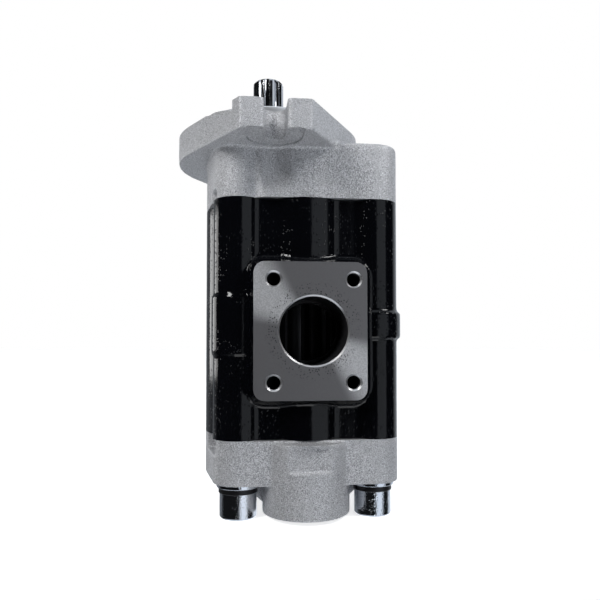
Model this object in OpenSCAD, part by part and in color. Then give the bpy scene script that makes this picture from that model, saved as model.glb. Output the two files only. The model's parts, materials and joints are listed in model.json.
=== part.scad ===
// External gear pump with a two-bolt pilot flange, a splined shaft and side ports.
// Origin: the shaft axis on the mounting face. +Z points out along the shaft.
// -Y is the suction side, and +X runs from the drive gear to the driven gear.

/* [Gear pair] */
// Distance between the two gear axes
gear_centres = 46; // [45:0.25:47]
// Number of teeth on each gear
gear_teeth = 11; // [10:1:12]
// Working pressure angle of the teeth, degrees
pressure_angle = 25; // [23:1:27]
// Height of a tooth above the pitch circle
addendum = 4.2; // [3.6:0.1:4.4]
// Gap between a tooth's tip and the other gear's root
root_gap = 0.7; // [0.5:0.1:1]
// Gap left at each flank where the teeth mesh
flank_gap = 0.15; // [0.1:0.01:0.3]
// Width of the gears along the shaft
gear_width = 76; // [60:1:84]
// Running gap between the tooth tips and the chamber wall
tip_gap = 0.25; // [0.1:0.05:0.4]
// Running gap between each gear side and its bearing block
side_gap = 0.2; // [0.1:0.05:0.4]

/* [Shafts and bearings] */
// Diameter of the four journals
journal_d = 27; // [25:0.5:29]
// Diameter of the drive shaft where the seal runs
seal_shaft_d = 25; // [24:0.5:26]
// Outer diameter of the spline
spline_d = 21.8; // [20:0.2:22.4]
// Number of spline teeth
spline_teeth = 13; // [11:1:15]
// Depth of the spline teeth
spline_depth = 1.7; // [1.2:0.1:2]
// Reach of the shaft's end above the mounting face
shaft_reach = 45; // [41:0.5:52]
// Chamfer on the shaft's end
shaft_chamfer = 1.6; // [0.8:0.2:2]
// Wall of a bearing bush
bush_wall = 2; // [1.5:0.25:2.5]
// Radial running gap between a journal and its bush
journal_gap = 0.04; // [0.02:0.01:0.1]
// Gap between a bearing block and the chamber wall
block_gap = 0.05; // [0.02:0.01:0.1]
// Gap between a bearing block and its cover
block_float = 0.1; // [0.05:0.05:0.3]
// Gap between a shaft's end and the cover behind it
shaft_end_gap = 0.8; // [0.4:0.1:1.5]

/* [Mounting flange] */
// Diameter of the pilot that centres the pump
pilot_d = 101.6; // [98:0.2:104]
// Height of the pilot above the mounting face
pilot_h = 9.5; // [8:0.5:12]
// Distance between the centres of the two mounting slots
slot_spacing = 146; // [140:1:152]
// Width of a mounting slot
slot_w = 14.3; // [13:0.1:16]
// Rounding of the slot's mouth
slot_mouth = 1.2; // [0.5:0.1:2]
// Thickness of the flange
flange_t = 18.5; // [16:0.5:21]
// Width of an ear at its outer edge
ear_w = 43; // [40:0.5:46]
// Distance from one ear's outer edge to the other's
ear_span = 177; // [172:1:182]
// Diameter of the round middle of the flange
flange_d = 127.5; // [122:0.5:132]
// Diameter of the spot face under each slot
spot_d = 35; // [32:0.5:38]
// Depth of the spot face under each slot
spot_depth = 1; // [0.5:0.1:1.5]
// Radius of the wrench scallop in the wall below each slot
scallop_r = 19.5; // [18:0.5:21]
// Depth of the scoop beside the front ear
scoop_depth = 5.8; // [4:0.2:7]
// Length of the scoop beside the front ear
scoop_length = 32; // [26:1:36]

/* [Castings] */
// From the mounting face to the joint with the body
front_cover_h = 51.5; // [49:0.5:56]
// From the mounting face down to the shoulder over the driven gear
shoulder_drop = 14.5; // [12:0.5:16]
// Length of the pump body between its two joints
body_h = 154.5; // [140:0.5:170]
// Thickness of the rear cover
rear_cover_h = 28.5; // [25:0.5:33]
// Width of the soft edges that the castings have where nothing is machined
cast_edge = 1.5; // [0.5:0.25:2]
// Radius of the castings' sides about each gear axis
side_r = 44; // [42:0.5:46]
// Half the depth of the castings, front to back, between the bolt bosses
wall_y = 53; // [51:0.5:55]
// Radius of each bolt boss
boss_r = 16.5; // [16:0.25:17.5]
// Radius of the swelling that carries each port
swell_r = 30; // [26:1:34]
// Distance from the gear axes to the top of the swelling
swell_y = 58.8; // [57:0.2:61]

/* [Suction port] */
// Distance from the gear axes to the suction face
suction_y = 68; // [65:0.5:72]
// Diameter of the suction bore
suction_d = 43; // [38:0.5:46]
// Width of the suction face
suction_face_w = 71; // [68:0.5:76]
// Height of the suction face
suction_face_h = 86; // [80:0.5:92]
// How far the face reaches past the bore's centre on the drive side, against the other side
suction_face_shift = 2; // [0:0.5:4]
// Spacing of the port screws across the pump
suction_dx = 50; // [48:0.5:52]
// Spacing of the port screws along the pump
suction_dz = 64; // [58:0.5:68]

/* [Discharge port] */
// Distance from the gear axes to the discharge face
discharge_y = 66; // [63:0.5:70]
// Diameter of the discharge bore
discharge_d = 32; // [28:0.5:36]
// Width of the discharge face
discharge_face_w = 62; // [58:0.5:68]
// Height of the discharge face
discharge_face_h = 72; // [66:0.5:80]
// Spacing of the port screws across the pump
discharge_dx = 42; // [39:0.5:46]
// Spacing of the port screws along the pump
discharge_dz = 52; // [48:0.5:56]

/* [Port details] */
// Shift of both ports from the middle of the gear pair
port_shift = 2; // [0:0.5:3]
// Distance from the body's middle to the ports' centre, towards the rear
port_drop = 8.25; // [6:0.25:10]
// Tapping diameter of the port screws
port_screw_d = 8.5; // [7.5:0.5:9]
// Depth of the port screw holes
port_screw_depth = 18; // [14:0.5:20]
// Chamfer on the port bores
port_chamfer = 1; // [0.5:0.1:1.5]
// Corner radius of the port faces
port_corner = 7; // [5:0.5:9]
// Slope of the port faces' sides, measured across
port_draft = 5; // [3:0.5:7]

/* [Rear cover] */
// Diameter of the blank boss on the rear cover
rear_boss_d = 57; // [54:0.5:60]
// Distance from the gear axes to the boss's centre
rear_boss_y = 40.5; // [38:0.5:42]
// Length of the boss below the rear cover
rear_boss_drop = 19.8; // [17:0.2:20]
// Gap between the boss's top and the body joint
rear_boss_step = 1.5; // [1:0.25:3]
// Width of the blank flat on the boss
flat_w = 28.4; // [24:0.2:32]
// Height of the blank flat on the boss
flat_h = 16; // [12:0.5:18]
// Thickness of the web beside the boss
web_t = 7; // [5:0.5:9]

/* [Cap screws] */
// Distance between the cap screws, along the gear centre line
screw_dx = 88.5; // [87:0.25:91]
// Distance between the cap screws, front to back
screw_dy = 81.2; // [79:0.2:84]
// Diameter of the cap screws
screw_d = 16; // [15:0.5:16]
// Diameter of a cap screw's head
head_d = 24; // [23:0.5:25]
// Height of a cap screw's head
head_h = 16; // [14:0.5:17]
// Key size of the socket
socket_af = 14; // [12:0.5:15]
// Depth of the socket
socket_depth = 8; // [6:0.5:9]
// Reach of a cap screw into the front cover
screw_grip = 26; // [20:1:28]
// Outer diameter of a flat washer
washer_d = 28; // [27:0.5:30]
// Thickness of a flat washer
washer_t = 2.5; // [2:0.25:3]
// Outer diameter of a spring washer
spring_d = 25.3; // [24.4:0.1:26]
// Thickness of a spring washer
spring_t = 3.5; // [3:0.25:4]

/* [Seals and dowels] */
// Outer diameter of the shaft seal
seal_d = 40; // [38:0.5:42]
// Width of the shaft seal
seal_w = 8; // [7:0.5:9]
// Depth of the shaft seal's outer face below the mounting face
seal_sink = 3; // [2:0.5:6]
// Thickness of the retaining ring
ring_t = 1.75; // [1.5:0.25:2]
// Section of the body seals
cord_d = 2.6; // [2:0.1:3]
// Distance from the chamber to the middle of a body seal
cord_offset = 5.2; // [4.6:0.1:5.6]
// Diameter of a dowel pin
dowel_d = 8; // [6:0.5:8]
// Length of a dowel pin
dowel_l = 16; // [12:1:20]

/* [Hidden] */
$fn = 64;

// Gear geometry
pitch_r = gear_centres / 2;
tip_r = pitch_r + addendum;
root_r = pitch_r - addendum - root_gap;
base_r = pitch_r * cos(pressure_angle);
chamber_r = tip_r + tip_gap;
flank_steps = 6;
root_flare = 2;
root_overlap = 0.6;

// Levels along the shaft
joint_front = -front_cover_h;
joint_rear = joint_front - body_h;
cover_end = joint_rear - rear_cover_h;
port_z = joint_front - body_h / 2 - port_drop;
gear_top = port_z + gear_width / 2;
gear_bottom = port_z - gear_width / 2;
washer_end = cover_end - washer_t;
spring_end = washer_end - spring_t;
head_end = spring_end - head_h;
screw_tip = joint_front + screw_grip;
boss_end = cover_end - rear_boss_drop;

boss_top = joint_rear - rear_boss_step;
flat_drop = 1.2;
spline_start = 5;
spline_overlap = 1;
cone_margin = 0.5;
neck_rise = 8;
neck_z = joint_front + neck_rise;
ring_z = -seal_sink + 0.05;
ring_play = 0.1;
lip_gap = 0.05;
garter_z = 2.4;
garter_r = 2.4;
garter_d = 1.3;
scallop_foot = 6;
vent_depth = 4;
front_block_low = gear_top + side_gap;
front_block_high = joint_front - block_float;
rear_block_low = joint_rear + block_float;
rear_block_high = gear_bottom - side_gap;
groove_depth = 3;
seal_layer = 1.6;
front_groove = front_block_high - groove_depth;
rear_groove = rear_block_low + groove_depth;

// Places across the pump
mid_x = gear_centres / 2;
port_x = mid_x + port_shift;
bush_r = journal_d / 2 + journal_gap + bush_wall;
screw_hole_d = screw_d + 1;
screw_point = 1.5;
head_chamfer = 1;
spring_split = 1;
tapped_gap = 0.1;
centre_d = 4.6;
centre_depth = 7;
centre_flare = 1.6;
cover_y = screw_dy / 2 + boss_r;
cord_r = chamber_r + cord_offset;
port_floor = chamber_r / 3;
throat_wall = 2;
throat_step = 2;
hole_chamfer = 0.75;
three_margin = 7;
three_r = bush_r + three_margin;
three_w = 2.6;
tab_gap = 0.65;
tab_reach = chamber_r - tab_gap;
relief_y = 5.5;
relief_w = 5;
relief_l = 3;
relief_depth = 1.5;
bush_inset = 0.5;
neck_gap = 1;
throat_gap = 0.75;
vent_d = journal_d - 5;
ring_groove_d = seal_d + 3;

// Flange plan
flange_r = flange_d / 2;
ear_y = ear_span / 2;
slot_y = slot_spacing / 2;
side_turn = atan2(ear_y, ear_w / 2) - acos(flange_r / norm([ear_w / 2, ear_y]));
pilot_chamfer = 1;
scoop_start = 9;
scoop_width = 20;
scoop_overrun = 3;

// Casting details
web_left = 8;
web_y = screw_dy / 2 - washer_d / 2 - 1.5 - web_t / 2;
web_spread = 20;
web_reach = rear_boss_d / 2 + web_spread;
band_z = port_z + 4;
band_left = 1.2;
band_left_h = 37;
band_right = 2.4;
band_right_h = 17;
pry_lip = 8;
pry_front_y = 34;
pry_rear_y = 16;
pry_front_h = 7;
pry_rear_h = 10;
pry_depth = 8.5;
boss_in = screw_dx / 2 - mid_x;
face_turn = atan2(screw_dy / 2, boss_in) - acos((side_r - boss_r) / norm([boss_in, screw_dy / 2]));
GEAR_X = [0, gear_centres];
SCREWS = [for (sx = [-1, 1], sy = [-1, 1]) [mid_x + sx * screw_dx / 2, sy * screw_dy / 2]];
dowel_x = 12;
dowel_inset = 8.5;
DOWELS = [for (s = [-1, 1]) [mid_x + s * dowel_x, s * (wall_y - dowel_inset)]];

// Colours as the photograph shows them
aluminium = [0.70, 0.71, 0.73];
black_paint = [0.06, 0.06, 0.07];
steel = [0.75, 0.76, 0.78];
dark_steel = [0.13, 0.13, 0.14];
bronze = [0.62, 0.47, 0.25];
rubber = [0.08, 0.08, 0.08];

// Involute of a circle, and the tooth's half angle at a radius, in degrees
function involute(angle) = tan(angle) * 180 / PI - angle;
function half_tooth(r) =
  90 / gear_teeth - asin(flank_gap / 2 / pitch_r) * 2
  + involute(pressure_angle) - involute(acos(min(1, base_r / r)));
function polar(r, angle) = [r * cos(angle), r * sin(angle)];

// One side of a tooth from the root to the tip, then the other side back down
function tooth(at) = concat(
  [polar(root_r - root_overlap, at - half_tooth(base_r) - root_flare)],
  [for (i = [0 : flank_steps])
    let (r = base_r + (tip_r - base_r) * i / flank_steps) polar(r, at - half_tooth(r))],
  [for (i = [flank_steps : -1 : 0])
    let (r = base_r + (tip_r - base_r) * i / flank_steps) polar(r, at + half_tooth(r))],
  [polar(root_r - root_overlap, at + half_tooth(base_r) + root_flare)]
);

module gear_outline() {
  polygon([for (k = [0 : gear_teeth - 1]) each tooth(k * 360 / gear_teeth)]);
}

module spline_outline() {
  outer_r = spline_d / 2;
  inner_r = outer_r - spline_depth;
  corner_r = outer_r - 0.25;
  step = 360 / spline_teeth;
  foot = 0.34 * step;
  corner = 0.22 * step;
  crest = 0.14 * step;
  polygon([for (k = [0 : spline_teeth - 1]) let (at = k * step) each [
    polar(inner_r, at - foot),
    polar(corner_r, at - corner),
    polar(outer_r, at - crest),
    polar(outer_r, at + crest),
    polar(corner_r, at + corner),
    polar(inner_r, at + foot)
  ]]);
}

// Solid between two levels
module slab(bottom, top) {
  translate([0, 0, bottom]) linear_extrude(top - bottom) children();
}

// Bore along Z between two levels
module bore(d, bottom, top) {
  translate([0, 0, bottom]) cylinder(d = d, h = top - bottom);
}

// Rounded rectangle centred on its own middle
module rounded_rect(w, h, r, facets) {
  square([w - 2 * r, h], center = true);
  square([w, h - 2 * r], center = true);
  for (sx = [-1, 1], sy = [-1, 1])
    translate([sx * (w / 2 - r), sy * (h / 2 - r)]) circle(r = r, $fn = facets);
}

// Plan of the body: bulged sides, straight front and back, four bolt bosses
module body_plan() {
  for (x = GEAR_X) translate([x, 0]) circle(r = side_r, $fn = 128);
  translate([mid_x, 0]) square([screw_dx + 2 * boss_r, screw_dy], center = true);
  translate([mid_x, 0]) square([screw_dx, 2 * wall_y], center = true);
  for (p = SCREWS) translate(p) circle(r = boss_r);
}

// The two overlapping circles that the gears turn in
module chamber_plan(gap) {
  for (x = GEAR_X) translate([x, 0]) circle(r = chamber_r - gap, $fn = 128);
}

// Groove of a body seal, a racetrack round the chamber
module racetrack(w) {
  difference() {
    union() {
      for (x = GEAR_X) translate([x, 0]) circle(r = cord_r + w / 2, $fn = 128);
      translate([mid_x, 0]) square([gear_centres, 2 * cord_r + w], center = true);
    }
    for (x = GEAR_X) translate([x, 0]) circle(r = cord_r - w / 2, $fn = 128);
    translate([mid_x, 0]) square([gear_centres, 2 * cord_r - w], center = true);
  }
}

// Cord of a body seal, lying in its groove
module cord_ring() {
  for (i = [0, 1])
    translate([GEAR_X[i], 0, 0]) rotate([0, 0, i == 0 ? 90 : -90])
      rotate_extrude(angle = 180, $fn = 96) translate([cord_r, 0]) circle(d = cord_d, $fn = 24);
  for (sy = [-1, 1])
    translate([0, sy * cord_r, 0]) rotate([0, 90, 0]) cylinder(d = cord_d, h = gear_centres, $fn = 24);
}

// Round piece of a casting between two levels; low or high gives that end a soft edge
module cast_disc(r, bottom, top, low = 0, high = 0, facets = 96) {
  translate([0, 0, bottom + low]) cylinder(r = r, h = top - high - bottom - low, $fn = facets);
  if (low > 0) translate([0, 0, bottom]) cylinder(r1 = r - low, r2 = r, h = low, $fn = facets);
  if (high > 0) translate([0, 0, top - high]) cylinder(r1 = r, r2 = r - high, h = high, $fn = facets);
}

// Square piece of a casting, from one corner to the other
module cast_block(corner, size, bottom, top, low = 0, high = 0) {
  inset = max(low, high);
  hull() {
    translate([corner[0], corner[1], bottom + low]) cube([size[0], size[1], top - high - bottom - low]);
    translate([corner[0] + inset, corner[1] + inset, bottom])
      cube([size[0] - 2 * inset, size[1] - 2 * inset, top - bottom]);
  }
}

// Plan of one ear, which leaves the round flange along its tangents; inset draws it in
module ear_plan(inset) {
  r = flange_r - inset;
  y = ear_y - inset;
  w = (r - y * sin(side_turn)) / cos(side_turn);
  polygon([
    [-w, y], [w, y],
    [r * cos(side_turn), r * sin(side_turn)],
    [-r * cos(side_turn), r * sin(side_turn)]
  ]);
}

// The flange: a round middle drawn out to two ears, with a soft lower edge
module flange() {
  cast_disc(flange_r, -flange_t, 0, low = cast_edge, facets = 160);
  for (a = [0, 180]) rotate([0, 0, a]) hull() {
    slab(cast_edge - flange_t, 0) ear_plan(0);
    slab(-flange_t, 0) ear_plan(cast_edge);
  }
}

// Open slot in the front ear, with a rounded mouth
module slot_plan() {
  translate([0, -slot_y]) circle(d = slot_w);
  translate([-slot_w / 2, -ear_y - 1]) square([slot_w, ear_y + 1 - slot_y]);
  difference() {
    translate([-slot_w / 2 - slot_mouth, -ear_y - 1]) square([slot_w + 2 * slot_mouth, slot_mouth + 1]);
    for (sx = [-1, 1])
      translate([sx * (slot_w / 2 + slot_mouth), slot_mouth - ear_y]) circle(r = slot_mouth);
  }
}

// Slot, spot face and wrench scallop of one ear
module ear_cuts() {
  slab(-flange_t - 1, 1) slot_plan();
  slab(-flange_t - 1, spot_depth - flange_t) {
    translate([0, -slot_y]) circle(d = spot_d);
    translate([-spot_d / 2, -ear_y - 1]) square([spot_d, ear_y + 1 - slot_y]);
  }
  translate([0, -slot_y, 0]) bore(2 * scallop_r, joint_front + scallop_foot, spot_depth - flange_t);
}

// Shallow scoop in the mounting face, beside the front ear on the drive side
module ear_scoop() {
  sweep_r = (scoop_length * scoop_length + scoop_depth * scoop_depth) / (2 * scoop_depth);
  foot = asin(scoop_length / sweep_r);
  turn = atan2(ear_y - flange_r * sin(side_turn), ear_w / 2 - flange_r * cos(side_turn));
  difference() {
    translate([-ear_w / 2, -ear_y, 0]) rotate([0, 0, turn])
      translate([scoop_start, scoop_overrun, 0]) rotate([90, 0, 0])
        linear_extrude(scoop_width + scoop_overrun)
          polygon(concat(
            [[scoop_length, 1], [0, 1]],
            [for (i = [0 : 8]) let (a = foot * (1 - i / 8))
              [scoop_length - sweep_r * sin(a), -sweep_r * (1 - cos(a))]]
          ));
    bore(pilot_d + 3, -2 * scoop_depth, 2);
  }
}

// Side of a cover: straight faces from the side's round onto its two bolt bosses
module side_plan(inset) {
  side = (side_r - inset) * [cos(face_turn), sin(face_turn)];
  boss = [boss_in, screw_dy / 2] + (boss_r - inset) * [cos(face_turn), sin(face_turn)];
  polygon([
    [side[0], -side[1]], side, boss, [boss_in, screw_dy / 2],
    [boss_in, -screw_dy / 2], [boss[0], -boss[1]]
  ]);
}

// The two sides of a cover between two levels, with a soft edge at the low or the high end
module cover_sides(bottom, top, low = 0, high = 0) {
  for (i = [0, 1]) translate([GEAR_X[i], 0, 0]) {
    cast_disc(side_r, bottom, top, low, high, 128);
    mirror([1 - i, 0, 0]) hull() {
      slab(bottom + low, top - high) side_plan(0);
      slab(bottom, top) side_plan(max(low, high));
    }
  }
}

// Pockets in the cover's side at the joint, where a lever goes in to part the castings
module pry_pockets(bottom, top, inner_y) {
  slab(bottom, top) for (a = [0, 1]) mirror([0, a])
    translate([-side_r, inner_y]) square([pry_depth, cover_y - pry_lip - inner_y]);
}

module front_cover() {
  color(aluminium) difference() {
    union() {
      flange();
      cover_sides(joint_front, -shoulder_drop, high = cast_edge);
      cast_block([SCREWS[0][0] - boss_r, -screw_dy / 2], [screw_dx + 2 * boss_r, screw_dy],
        joint_front, -shoulder_drop, high = cast_edge);
      cast_block([SCREWS[0][0], -wall_y], [screw_dx, 2 * wall_y],
        joint_front, -shoulder_drop, high = cast_edge);
      cast_block([-web_left, -cover_y], [SCREWS[3][0] + web_left, 2 * cover_y],
        joint_front, -shoulder_drop, high = cast_edge);
      for (p = SCREWS) translate(p) cast_disc(boss_r, joint_front, -shoulder_drop, high = cast_edge);
      bore(pilot_d, -1, pilot_h - pilot_chamfer);
      translate([0, 0, pilot_h - pilot_chamfer])
        cylinder(d1 = pilot_d, d2 = pilot_d - 2 * pilot_chamfer, h = pilot_chamfer, $fn = 128);
    }
    ear_cuts();
    rotate([0, 0, 180]) ear_cuts();
    ear_scoop();
    bore(seal_d, -seal_sink - seal_w, pilot_h + 1);
    bore(ring_groove_d, ring_z, ring_z + ring_t + ring_play);
    bore(seal_shaft_d + 2 * neck_gap, neck_z, pilot_h);
    bore(journal_d + 2 * throat_gap, joint_front - 1, neck_z);
    translate([gear_centres, 0, 0]) bore(vent_d, joint_front - 1, joint_front + vent_depth);
    for (p = SCREWS) translate(p) bore(screw_d + 2 * tapped_gap, joint_front - 1, screw_tip + 2.5);
    for (p = DOWELS) translate(p) bore(dowel_d, joint_front - 1, joint_front + dowel_l / 2 + 0.5);
    pry_pockets(joint_front - 1, joint_front + pry_front_h, pry_front_y);
  }
}

// Port block on the front of the body, tapering out from its machined face
module port_block(reach, w, h, at_x) {
  hull() {
    translate([at_x, -reach + 2, port_z]) rotate([90, 0, 0])
      linear_extrude(2) rounded_rect(w, h, port_corner, 32);
    translate([at_x, 2 - wall_y, port_z]) rotate([90, 0, 0])
      linear_extrude(1) rounded_rect(w + 2 * port_draft, h + 2 * port_draft, port_corner + port_draft, 32);
  }
}

// Bore of a port, its narrower throat into the chamber and its four tapped holes
module port_cuts(reach, d, dx, dz) {
  seat = chamber_r + throat_wall;
  translate([port_x, -reach, port_z]) rotate([90, 0, 0]) {
    translate([0, 0, seat - reach]) cylinder(d = d, h = reach - seat + 1, $fn = 96);
    translate([0, 0, port_floor - reach])
      cylinder(d = d - 2 * throat_step, h = reach - port_floor - 1, $fn = 96);
    translate([0, 0, -port_chamfer])
      cylinder(d1 = d, d2 = d + 2 * port_chamfer + 0.02, h = port_chamfer + 0.01, $fn = 96);
    for (sx = [-1, 1], sz = [-1, 1]) translate([sx * dx / 2, sz * dz / 2, 0]) {
      translate([0, 0, -port_screw_depth]) cylinder(d = port_screw_d, h = port_screw_depth + 1);
      translate([0, 0, -hole_chamfer])
        cylinder(d1 = port_screw_d, d2 = port_screw_d + 2 * hole_chamfer + 0.02, h = hole_chamfer + 0.01);
    }
  }
}

module pump_body() {
  color(black_paint) difference() {
    union() {
      slab(joint_rear, joint_front) {
        body_plan();
        for (sy = [-1, 1]) translate([mid_x, sy * (swell_y - swell_r)]) circle(r = swell_r, $fn = 96);
      }
      port_block(suction_y, suction_face_w, suction_face_h, port_x - suction_face_shift);
      mirror([0, 1, 0]) port_block(discharge_y, discharge_face_w, discharge_face_h, port_x);
      slab(band_z - band_left_h / 2, band_z + band_left_h / 2)
        for (i = [0, 1]) translate(SCREWS[i]) circle(r = boss_r + band_left);
      slab(band_z - band_right_h / 2, band_z + band_right_h / 2) {
        for (i = [2, 3]) translate(SCREWS[i]) circle(r = boss_r + band_right);
        translate([gear_centres, 0]) circle(r = side_r + band_right, $fn = 128);
      }
    }
    slab(joint_rear - 1, joint_front + 1) chamber_plan(0);
    port_cuts(suction_y, suction_d, suction_dx, suction_dz);
    mirror([0, 1, 0]) port_cuts(discharge_y, discharge_d, discharge_dx, discharge_dz);
    for (p = SCREWS) translate(p) bore(screw_hole_d, joint_rear - 1, joint_front + 1);
    slab(joint_front - cord_d, joint_front + 1) racetrack(cord_d + 0.4);
    slab(joint_rear - 1, joint_rear + cord_d) racetrack(cord_d + 0.4);
    for (p = DOWELS) translate(p) {
      bore(dowel_d, joint_front - dowel_l / 2 - 0.5, joint_front + 1);
      bore(dowel_d, joint_rear - 1, joint_rear + dowel_l / 2 + 0.5);
    }
  }
}

// Blank boss of the rear cover, with a flat on its front
module rear_boss() {
  flat_y = sqrt(rear_boss_d * rear_boss_d - flat_w * flat_w) / 2;
  difference() {
    cast_disc(rear_boss_d / 2, boss_end, boss_top, low = cast_edge);
    translate([-flat_w / 2 - 1, -rear_boss_d, boss_top - flat_drop - flat_h])
      cube([flat_w + 2, rear_boss_d - flat_y, flat_h]);
  }
}

module rear_cover() {
  color(aluminium) difference() {
    union() {
      cover_sides(cover_end, joint_rear, low = cast_edge);
      cast_block([SCREWS[0][0] - boss_r, -screw_dy / 2], [screw_dx + 2 * boss_r, screw_dy],
        cover_end, joint_rear, low = cast_edge);
      cast_block([SCREWS[0][0], -cover_y], [screw_dx, 2 * cover_y],
        cover_end, joint_rear, low = cast_edge);
      for (p = SCREWS) translate(p) cast_disc(boss_r, cover_end, joint_rear, low = cast_edge);
      for (a = [0, 180]) translate([mid_x, 0, 0]) rotate([0, 0, a]) {
        translate([0, -rear_boss_y, 0]) rear_boss();
        translate([0, -web_y, 0]) rotate([90, 0, 0]) linear_extrude(web_t, center = true)
          polygon([
            [-web_reach, cover_end + 1], [web_reach, cover_end + 1],
            [rear_boss_d / 2 - 1, boss_end + 2], [1 - rear_boss_d / 2, boss_end + 2]
          ]);
      }
    }
    for (p = SCREWS) translate(p) bore(screw_hole_d, cover_end - 1, joint_rear + 1);
    for (p = DOWELS) translate(p) bore(dowel_d, joint_rear - dowel_l / 2 - 0.5, joint_rear + 1);
    for (x = GEAR_X) translate([x, 0, 0]) bore(vent_d, joint_rear - vent_depth, joint_rear + 1);
    pry_pockets(joint_rear - pry_rear_h, joint_rear + 1, pry_rear_y);
  }
}

// One shaft with its gear, from the rear end to the top of the front journal
module geared_shaft(top) {
  slab(gear_bottom, gear_top) gear_outline();
  bore(journal_d, joint_rear + shaft_end_gap, top);
  bore(2 * root_r, gear_bottom, gear_top);
}

// Splined end, cut to its chamfer
module spline_end() {
  intersection() {
    slab(spline_start - spline_overlap, shaft_reach) spline_outline();
    union() {
      bore(spline_d + 2 * cone_margin, spline_start - 2, shaft_reach - shaft_chamfer - cone_margin);
      translate([0, 0, shaft_reach - shaft_chamfer - cone_margin])
        cylinder(d1 = spline_d + 2 * cone_margin, d2 = spline_d - 2 * shaft_chamfer - cone_margin,
          h = shaft_chamfer + 1.5 * cone_margin);
    }
  }
}

module drive_gear_shaft() {
  color(steel) difference() {
    union() {
      geared_shaft(neck_z - neck_gap);
      bore(seal_shaft_d, neck_z - 2 * neck_gap, spline_start - spline_overlap);
      translate([0, 0, spline_start - spline_overlap])
        cylinder(d1 = seal_shaft_d, d2 = seal_shaft_d - 2 * spline_overlap, h = spline_overlap);
      spline_end();
    }
    bore(centre_d, shaft_reach - centre_depth, shaft_reach + 1);
    translate([0, 0, shaft_reach - centre_flare])
      cylinder(d1 = centre_d, d2 = centre_d + 2 * centre_flare, h = centre_flare + 0.01);
  }
}

module driven_gear_shaft() {
  color(steel) translate([gear_centres, 0, 0])
    rotate([0, 0, gear_teeth % 2 == 0 ? 180 / gear_teeth : 0])
      geared_shaft(joint_front - shaft_end_gap);
}

// Plan of the pressure seal on a bearing block, shaped like a 3
module three_plan(grow) {
  difference() {
    union() {
      for (x = GEAR_X) translate([x, 0]) circle(r = three_r + grow, $fn = 96);
      translate([mid_x, -three_r / 4]) square([three_w + 2 * grow, three_r / 2], center = true);
    }
    for (x = GEAR_X) translate([x, 0]) circle(r = three_r - three_w - grow, $fn = 96);
    translate([-2 * three_r, grow]) square([gear_centres + 4 * three_r, 2 * three_r]);
  }
  tab_l = tab_reach - three_r + three_w / 2;
  for (x = [-tab_reach, gear_centres + tab_reach - tab_l])
    translate([x, -three_w]) square([tab_l, three_w + grow]);
}

// Bearing block between two levels; the seal lies on the side away from the gears
module bearing_block(gear_side, cover_side) {
  up = cover_side > gear_side;
  low = min(gear_side, cover_side);
  high = max(gear_side, cover_side);
  color(aluminium) difference() {
    slab(low, high) chamber_plan(block_gap);
    for (x = GEAR_X) translate([x, 0, 0]) bore(2 * bush_r, low - 1, high + 1);
    slab(cover_side - (up ? groove_depth : 1), cover_side + (up ? 1 : groove_depth)) three_plan(0.15);
    for (sy = [-1, 1]) translate([mid_x, sy * relief_y, gear_side])
      cube([relief_w, relief_l, 2 * relief_depth], center = true);
  }
}

module front_bearing_block() { bearing_block(front_block_low, front_block_high); }
module rear_bearing_block() { bearing_block(rear_block_high, rear_block_low); }

// Bush pressed into a bearing block, a little shorter than the block at both ends
module bush(x, low, high) {
  color(bronze) translate([x, 0, 0]) difference() {
    bore(2 * bush_r, low + bush_inset, high - bush_inset);
    bore(journal_d + 2 * journal_gap, low - 1, high + 1);
  }
}

module front_drive_bush() { bush(0, front_block_low, front_block_high); }
module front_driven_bush() { bush(gear_centres, front_block_low, front_block_high); }
module rear_drive_bush() { bush(0, rear_block_low, rear_block_high); }
module rear_driven_bush() { bush(gear_centres, rear_block_low, rear_block_high); }

// Seals of the bearing blocks, and the harder rings that back them
module front_block_seal() { color(rubber) slab(front_groove, front_groove + seal_layer) three_plan(0); }
module rear_block_seal() { color(rubber) slab(rear_groove - seal_layer, rear_groove) three_plan(0); }
module front_backup_ring() { color("ivory") slab(front_groove + seal_layer, joint_front) three_plan(0); }
module rear_backup_ring() { color("ivory") slab(joint_rear, rear_groove - seal_layer) three_plan(0); }

module front_body_seal() { color(rubber) translate([0, 0, joint_front - cord_d / 2]) cord_ring(); }
module rear_body_seal() { color(rubber) translate([0, 0, joint_rear + cord_d / 2]) cord_ring(); }

// Lip seal, turned round the shaft: its case, the main lip and the dust lip
module shaft_seal() {
  outer = seal_d / 2;
  lip = seal_shaft_d / 2 + lip_gap;
  color(rubber) translate([0, 0, -seal_sink - seal_w]) rotate_extrude($fn = 96)
    polygon([
      [outer, 0], [outer, seal_w], [lip + 0.2, seal_w], [lip, seal_w - 0.8],
      [lip + 1.2, seal_w - 2.4], [lip + 1.2, 4.4], [lip, 2.6], [lip + 0.9, 0.6],
      [lip + 2, 0.6], [lip + 2, 1.6], [lip + 1.6, 2.4], [lip + 2, 3.2],
      [lip + 2.6, seal_w - 2], [outer - 1.6, seal_w - 2], [outer - 1.6, 0]
    ]);
}

module seal_garter_spring() {
  color(steel) translate([0, 0, -seal_sink - seal_w + garter_z]) rotate_extrude($fn = 96)
    translate([seal_shaft_d / 2 + lip_gap + garter_r, 0]) circle(d = garter_d, $fn = 16);
}

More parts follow.
